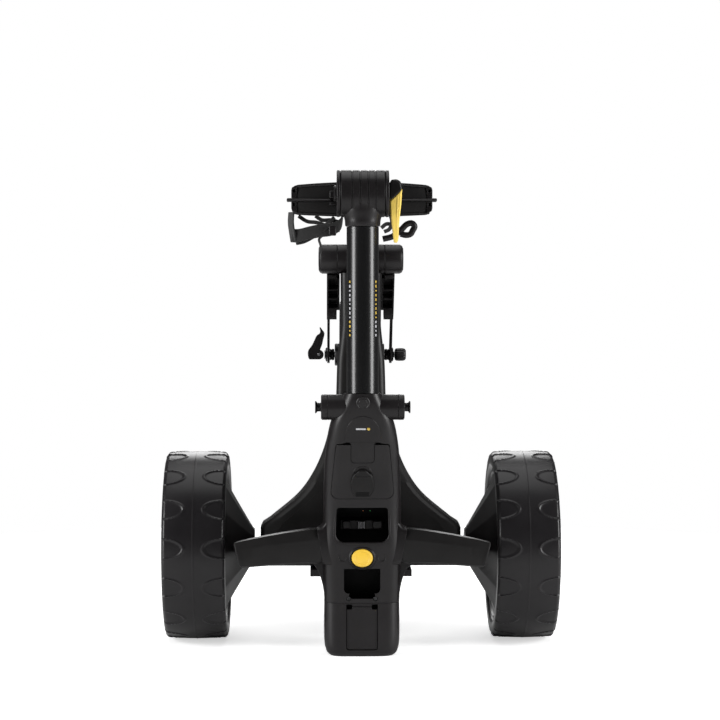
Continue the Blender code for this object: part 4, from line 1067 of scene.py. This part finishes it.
# --- upper frame
def make_cradle():
    """Upper bag cradle: curved band with rolled edges, thin mid rib, end caps with square holes, clip and bridge."""
    half_band, band_front, bow = 0.1033, -0.1782, 0.012

    def band_at(x, shrink=0.0):
        share = (x / half_band) ** 2
        near = band_front + bow * share
        low, high = TEE.z - 0.032 + 0.0035 * share, TEE.z + 0.0205 - 0.0045 * share
        middle, half = (low + high) / 2, (high - low) / 2 - shrink
        section = []
        for t in np.linspace(-1, 1, 13):
            section.append((near - 0.003 * (1 - t * t) + 0.0006, middle + half * t))
        section += [(near + 0.012, middle + half), (near + 0.0175, middle + half - 0.003)]
        section += [(near + 0.0175, middle - half + 0.003), (near + 0.012, middle - half)]
        return [at(x, d, z) for d, z in section]
    rings = [band_at(x, 0.0012 if abs(x) > 0.1 else 0.0) for x in np.linspace(-half_band, half_band, 33)]
    band = soften(loft("cradle_band", rings, ARM_BLACK, angle=40), 0.001, 2, 45)
    ride("upper_frame", band, cad="bag_cradle")
    rib = []
    half_rib = 0.114
    for x in [-half_rib] + list(np.linspace(-0.1128, 0.1128, 41)) + [half_rib]:
        share = abs(x) / half_rib
        near = band_front + bow * (x / half_band) ** 2
        thick = (0.0016 + 0.0013 * share ** 2) * (0.6 if share > 0.99 else 1.0)
        middle = TEE.z - 0.0075 + 0.001 * share
        rib.append([at(x, near + d, middle + thick * up) for d, up in ((-0.0066, -0.6), (-0.0074, 0.0),
            (-0.0066, 0.6), (-0.004, 1.0), (0.006, 1.0), (0.006, -1.0), (-0.004, -1.0))])
    ride("upper_frame", loft("cradle_rib", rib, BLACK, angle=50))
    for side, name in SIDES:
        cap = outline("cradle_end_" + name, [(side * a, b + TEE.z) for a, b in ((0.0985, -0.0265),
            (0.0985, 0.0155), (0.106, 0.0125), (0.1072, 0.008), (0.1072, -0.019), (0.106, -0.0235))],
            -0.1705, -0.15, BLACK)
        for z in (0.007, -0.013):
            boolean(cap, block("cap_hole", (side * 0.1025 - 0.0022, -0.19, TEE.z + z - 0.0025),
                (side * 0.1025 + 0.0022, -0.155, TEE.z + z + 0.0025), None, 0, cutters))
        bake(cap)
        ride("upper_frame", soften(cap, 0.0008, 2))
        for z in (0.0165, -0.029):
            curl = 0.0042 if z > 0 else -0.0032
            edge = [(x, band_front + bow * (x / half_band) ** 2 - 0.0012,
                TEE.z + z - curl * (x / half_band) ** 2) for x in np.linspace(side * 0.04, side * 0.1, 13)]
            ride("upper_frame", bent_tube("cradle_bead", [edge], 0.001, BLACK))
    for z, half in ((0.001, 0.0055), (-0.013, 0.0022)):
        clip = block("cradle_clip", (-0.049, -0.186, TEE.z + z - half),
            (-0.0385, -0.177, TEE.z + z + half), BLACK, 0.0012)
        ride("upper_frame", clip)
    bridge = block("bridge_moulding", *node_box("cradle_bridge"), BLACK, 0.003)
    ride("upper_frame", bridge, cad="cradle_bridge")


def ribbon(name, route, width_axis, half_width, half_thick, mat):
    """A flat strap along a route, its width along one axis."""
    path = [Vector(p) for p in route]
    wide = Vector(width_axis)
    rings = []
    for i, p in enumerate(path):
        run = (path[min(i + 1, len(path) - 1)] - path[max(i - 1, 0)]).normalized()
        thick = run.cross(wide).normalized() * half_thick
        side = wide * half_width
        rings.append([at(*(p + side + thick)), at(*(p - side + thick)), at(*(p - side - thick)),
            at(*(p + side - thick))])
    return soften(loft(name, rings, mat, angle=50), half_thick * 0.6, 2, 60)


def eased(points):
    """A strap's or a cord's route through its points."""
    return smooth_route(points, 6)


def make_straps():
    """Flat bag strap at the cradle's left end, its elastic cords, keeper and tail, and the hook at the right."""
    drop = eased([(-0.107, -0.158, 0.676), (-0.1078, -0.16, 0.66), (-0.1058, -0.162, 0.644),
        (-0.1035, -0.162, 0.63)])
    ride("upper_frame", ribbon("bag_strap_drop", drop, (0.55, -0.835, 0.0), 0.0075, 0.0013, STRAP),
        slot="webbing", cad="bag_strap")
    run = eased([(-0.1065, -0.163, 0.64), (-0.096, -0.166, 0.64), (-0.08, -0.167, 0.644),
        (-0.062, -0.166, 0.6475), (-0.045, -0.163, 0.65), (-0.033, -0.158, 0.657), (-0.029, -0.15, 0.668)])
    ride("upper_frame", ribbon("bag_strap_run", run, (0.1, 0.2, 0.97), 0.0105, 0.0012, STRAP), slot="webbing")
    fold = eased([(-0.101, -0.161, 0.631), (-0.089, -0.1635, 0.6335), (-0.076, -0.165, 0.64),
        (-0.06, -0.164, 0.65), (-0.046, -0.16, 0.66)])
    ride("upper_frame", ribbon("bag_strap_fold", fold, (-0.25, 0.45, 0.86), 0.0062, 0.0012,
        STRAP), slot="webbing")
    tail = eased([(-0.06, -0.164, 0.64), (-0.065, -0.166, 0.634), (-0.0625, -0.168, 0.624),
        (-0.0635, -0.168, 0.613)])
    ride("upper_frame", bent_tube("strap_tail", [tail], 0.0019, STRAP), slot="webbing")
    cords = [eased([(-0.096, -0.15, 0.67), (-0.083, -0.153, 0.662), (-0.068, -0.155, 0.66),
        (-0.05, -0.156, 0.654), (-0.033, -0.156, 0.648)]), eased([(-0.07, -0.148, 0.67), (-0.06, -0.152, 0.664),
        (-0.046, -0.153, 0.664), (-0.032, -0.152, 0.66)]), eased([(-0.056, -0.16, 0.646),
        (-0.05, -0.158, 0.658), (-0.042, -0.156, 0.668)])]
    ride("upper_frame", bent_tube("strap_cord", cords, 0.003, STRAP), slot="webbing")
    keeper = block("strap_keeper", (-0.05, -0.174, 0.64), (-0.039, -0.156, 0.654), BLACK, 0.0018)
    ride("upper_frame", keeper)
    hook = eased([(0.032, -0.163, 0.635), (0.047, -0.163, 0.639), (0.059, -0.163, 0.648),
        (0.068, -0.163, 0.657), (0.076, -0.163, 0.659), (0.0802, -0.163, 0.654), (0.0775, -0.163, 0.648),
        (0.074, -0.163, 0.6425), (0.067, -0.163, 0.641), (0.059, -0.163, 0.643)])
    ride("upper_frame", bent_tube("strap_hook", [hook], 0.0047, BLACK), cad="strap_buckle")
    links = [eased([(0.034, -0.16, 0.646), (0.042, -0.16, 0.65), (0.046, -0.158, 0.66),
        (0.044, -0.154, 0.672)]), eased([(0.03, -0.158, 0.652), (0.038, -0.157, 0.658), (0.048, -0.156, 0.656),
        (0.056, -0.16, 0.65), (0.064, -0.161, 0.652)])]
    ride("upper_frame", bent_tube("hook_cord", links, 0.003, STRAP), slot="webbing")


def make_handle():
    """Upper tube, sockets, handle bar, ribbed grips, and the console with its dial and button."""
    route = [(0.0, d, z) for d, z in smooth_route(UPPER_ROUTE, 8)]
    tube = bent_tube("upper_tube_coated", [route], UPPER_TUBE_RADIUS, TUBE, 10)
    ride("upper_frame", tube, slot="frame_tube", cad="upper_tube")
    socket = [(0.0149, 0.0), (0.02, 0.0), (0.02, 0.015), (0.018, 0.018), (0.0149, 0.0185)]
    ride("upper_frame", turned("tube_socket", [(r, -h) for r, h in reversed(socket)], (0, -0.14, 0.7015),
        BLACK, "Y", 48))
    low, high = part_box("console_housing")
    d0, d1 = low.y - AXLE.y, high.y - AXLE.y
    rings = []
    for depth, inset in ((d0, 0.007), (d0 + 0.003, 0.002), (d0 + 0.01, 0.0), (d1 - 0.008, 0.0),
            (d1 - 0.002, 0.002), (d1, 0.006)):
        rings.append([at(x, depth, z) for x, z in rounded(0.038 - inset, low.z + inset, high.z - inset, 0.012)])
    console = loft("console_moulding", rings, BLACK, angle=40)
    boolean(console, block("button_pocket", (-0.0078, d1 - 0.004, 0.2322), (0.0078, d1 + 0.02, 0.2438),
        None, 0, cutters))
    bake(console, 40)
    ride("upper_frame", soften(console, 0.0006, 2, 40), cad="console_housing")
    ride("upper_frame", rod("bar_moulding", (-0.128, HANDLE_DEPTH, HANDLE_Z), 0.256, 0.01, BLACK),
        cad="handle_bar")
    for side, name in SIDES:
        profile = [(0.0103, 0.042), (0.015, 0.042), (0.016, 0.0432)]
        for i in range(14):
            x = 0.046 + 0.0058 * i
            profile += [(0.016, x), (0.0148, x + 0.0008), (0.0148, x + 0.0016), (0.016, x + 0.0024)]
        profile += [(0.016, 0.131), (0.0145, 0.1335), (0.0103, 0.134)]
        ride("upper_frame", turned("grip_" + name, sided(profile, side), BAR_MIDDLE, SOFT_GRIP, "X", 48),
            slot="grip", cad="handle_grip_" + name)
        end = [(0, 0.1279), (0.0098, 0.1279), (0.011, 0.1342), (0.009, 0.1352), (0, 0.1355)]
        ride("upper_frame", turned("grip_end_" + name, sided(end, side), BAR_MIDDLE, BLACK, "X", 40))
    dial_low, dial_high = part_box("speed_dial")
    middle = (dial_low + dial_high) / 2
    rings = []
    for h, radius, wave in ((0.0, 0.0138, 0.0), (0.0008, 0.014, 0.03), (0.006, 0.0134, 0.03),
            (0.0076, 0.0118, 0.0), (0.0078, 0.005, 0.0)):
        ring = []
        for t in round_points(120):
            r = radius * (1 - wave * (0.5 + 0.5 * math.cos(20 * t)))
            ring.append(Vector((middle.x + r * math.cos(t), dial_low.y + h, middle.z + r * math.sin(t))))
        rings.append(ring)
    ride("dial", loft("dial_moulding", rings, BLACK, angle=45), cad="speed_dial")
    line = block("dial_pointer", (-0.0007, dial_high.y - AXLE.y - 0.0006, middle.z + 0.003),
        (0.0007, dial_high.y - AXLE.y + 0.0001, middle.z + 0.0105), WHITE_INK, 0.0002)
    ride("dial", line, slot="grey_plastic")
    for i in range(11):
        t = math.radians(-50 + 28 * i)
        tick = rod("dial_tick", (middle.x + 0.018 * math.cos(t), d1 - 0.0004, middle.z + 0.018 * math.sin(t)),
            0.0008, 0.0007, WHITE_INK, "Y", 12, 0.0001)
        ride("upper_frame", tick, slot="grey_plastic")
    key = block("power_key", *node_box("power_button"), GREY, 0.0012)
    ride("power_switch", key, slot="grey_plastic", cad="power_button")


make_cradle()
make_straps()
make_handle()

# CAD nodes whose shape is right keep it, with a finished material; the back cover and fold ears also get eased
# edges.
KEPT = {"body_back_cover": BLACK, "control_board": DARK, "fold_ear_left": BLACK, "fold_ear_right": BLACK,
    "rear_axle": DARK_STEEL, "drive_motor_left": STEEL, "drive_motor_right": STEEL, "fork_hinge_pin": STEEL,
    "front_axle": DARK_STEEL, "tee_pivot_bolt": DARK_STEEL, "button_spring": STEEL}
for node, finish in KEPT.items():
    obj = frame["nodes"][node]
    obj.data.materials.clear()
    obj.data.materials.append(finish)
for node in ("body_back_cover", "fold_ear_left", "fold_ear_right"):
    soften(frame["nodes"][node], 0.0008, 2, 40)


# --- floor, light and camera
def area_light(name, place, aim, size, power, tall=None):
    """A soft rectangular light aimed at a point."""
    data = bpy.data.lights.new(name, "AREA")
    data.shape = "RECTANGLE"
    data.size, data.size_y = size, tall or size
    data.energy = power
    lamp = bpy.data.objects.new(name, data)
    bpy.context.scene.collection.objects.link(lamp)
    lamp.location = place
    lamp.rotation_euler = (Vector(aim) - Vector(place)).to_track_quat("-Z", "Y").to_euler()
    return lamp


def make_stage():
    """Plain pale floor, white surroundings, and soft lights left, right and above."""
    floor_mat = plastic("studio_floor", (0.93, 0.93, 0.93), (0.95, 0.95, 0.95), 0.9, grain=60.0,
        bump=0.02, mottle=1.5)
    shader = floor_mat.node_tree.nodes["Principled BSDF"]
    shader.inputs["Emission Color"].default_value = (1, 1, 1, 1)
    tree = floor_mat.node_tree
    floor_path, lift = tree.nodes.new("ShaderNodeLightPath"), tree.nodes.new("ShaderNodeMath")
    lift.operation = "MULTIPLY"
    lift.inputs[1].default_value = 0.55
    tree.links.new(floor_path.outputs["Is Camera Ray"], lift.inputs[0])
    tree.links.new(lift.outputs[0], shader.inputs["Emission Strength"])
    shader.inputs["Specular IOR Level"].default_value = 0.0
    rim = [Vector((1.7 * math.cos(t), 1.7 * math.sin(t), -0.0002)) for t in np.linspace(0, 2 * math.pi, 96,
        endpoint=False)]
    floor = mesh_object("studio_floor", rim, [tuple(range(96))], floor_mat)
    world = bpy.data.worlds.new("studio")
    bpy.context.scene.world = world
    world.use_nodes = True
    nodes, links = world.node_tree.nodes, world.node_tree.links
    seen = nodes["Background"]
    seen.inputs["Color"].default_value = (1, 1, 1, 1)
    seen.inputs["Strength"].default_value = 1.0
    fill = nodes.new("ShaderNodeBackground")
    fill.inputs["Color"].default_value = (1, 1, 1, 1)
    fill.inputs["Strength"].default_value = 0.12
    path, mix = nodes.new("ShaderNodeLightPath"), nodes.new("ShaderNodeMixShader")
    links.new(path.outputs["Is Camera Ray"], mix.inputs[0])
    links.new(fill.outputs[0], mix.inputs[1])
    links.new(seen.outputs[0], mix.inputs[2])
    links.new(mix.outputs[0], nodes["World Output"].inputs[0])
    area_light("soft_left", (-2.5, -1.1, 1.0), (0, 0, 0.35), 1.0, 85, 2.0)
    area_light("soft_right", (2.5, -1.1, 1.0), (0, 0, 0.35), 1.0, 85, 2.0)
    area_light("soft_top", (0, 0.4, 3.0), (0, 0, 0.3), 2.4, 32)
    area_light("soft_back", (0, 2.8, 1.6), (0, 0, 0.4), 1.6, 30)
    bpy.context.scene.view_settings.view_transform = "Standard"


def make_camera():
    """Level view from the bag side, a little left of the middle, at about three quarters of the object's height."""
    data = bpy.data.cameras.new("camera")
    data.sensor_width = 36
    data.lens = 103
    camera = bpy.data.objects.new("camera", data)
    bpy.context.scene.collection.objects.link(camera)
    camera.location = at(-0.0635, -3.3, 0.545)
    right, down = math.radians(1.11), math.radians(1.72)
    camera.rotation_euler = (math.radians(90) - down, 0, -right)
    bpy.context.scene.camera = camera


make_stage()
make_camera()
for cutter in cutters.objects[:]:
    cutter.hide_render = True
    cutter.hide_viewport = True
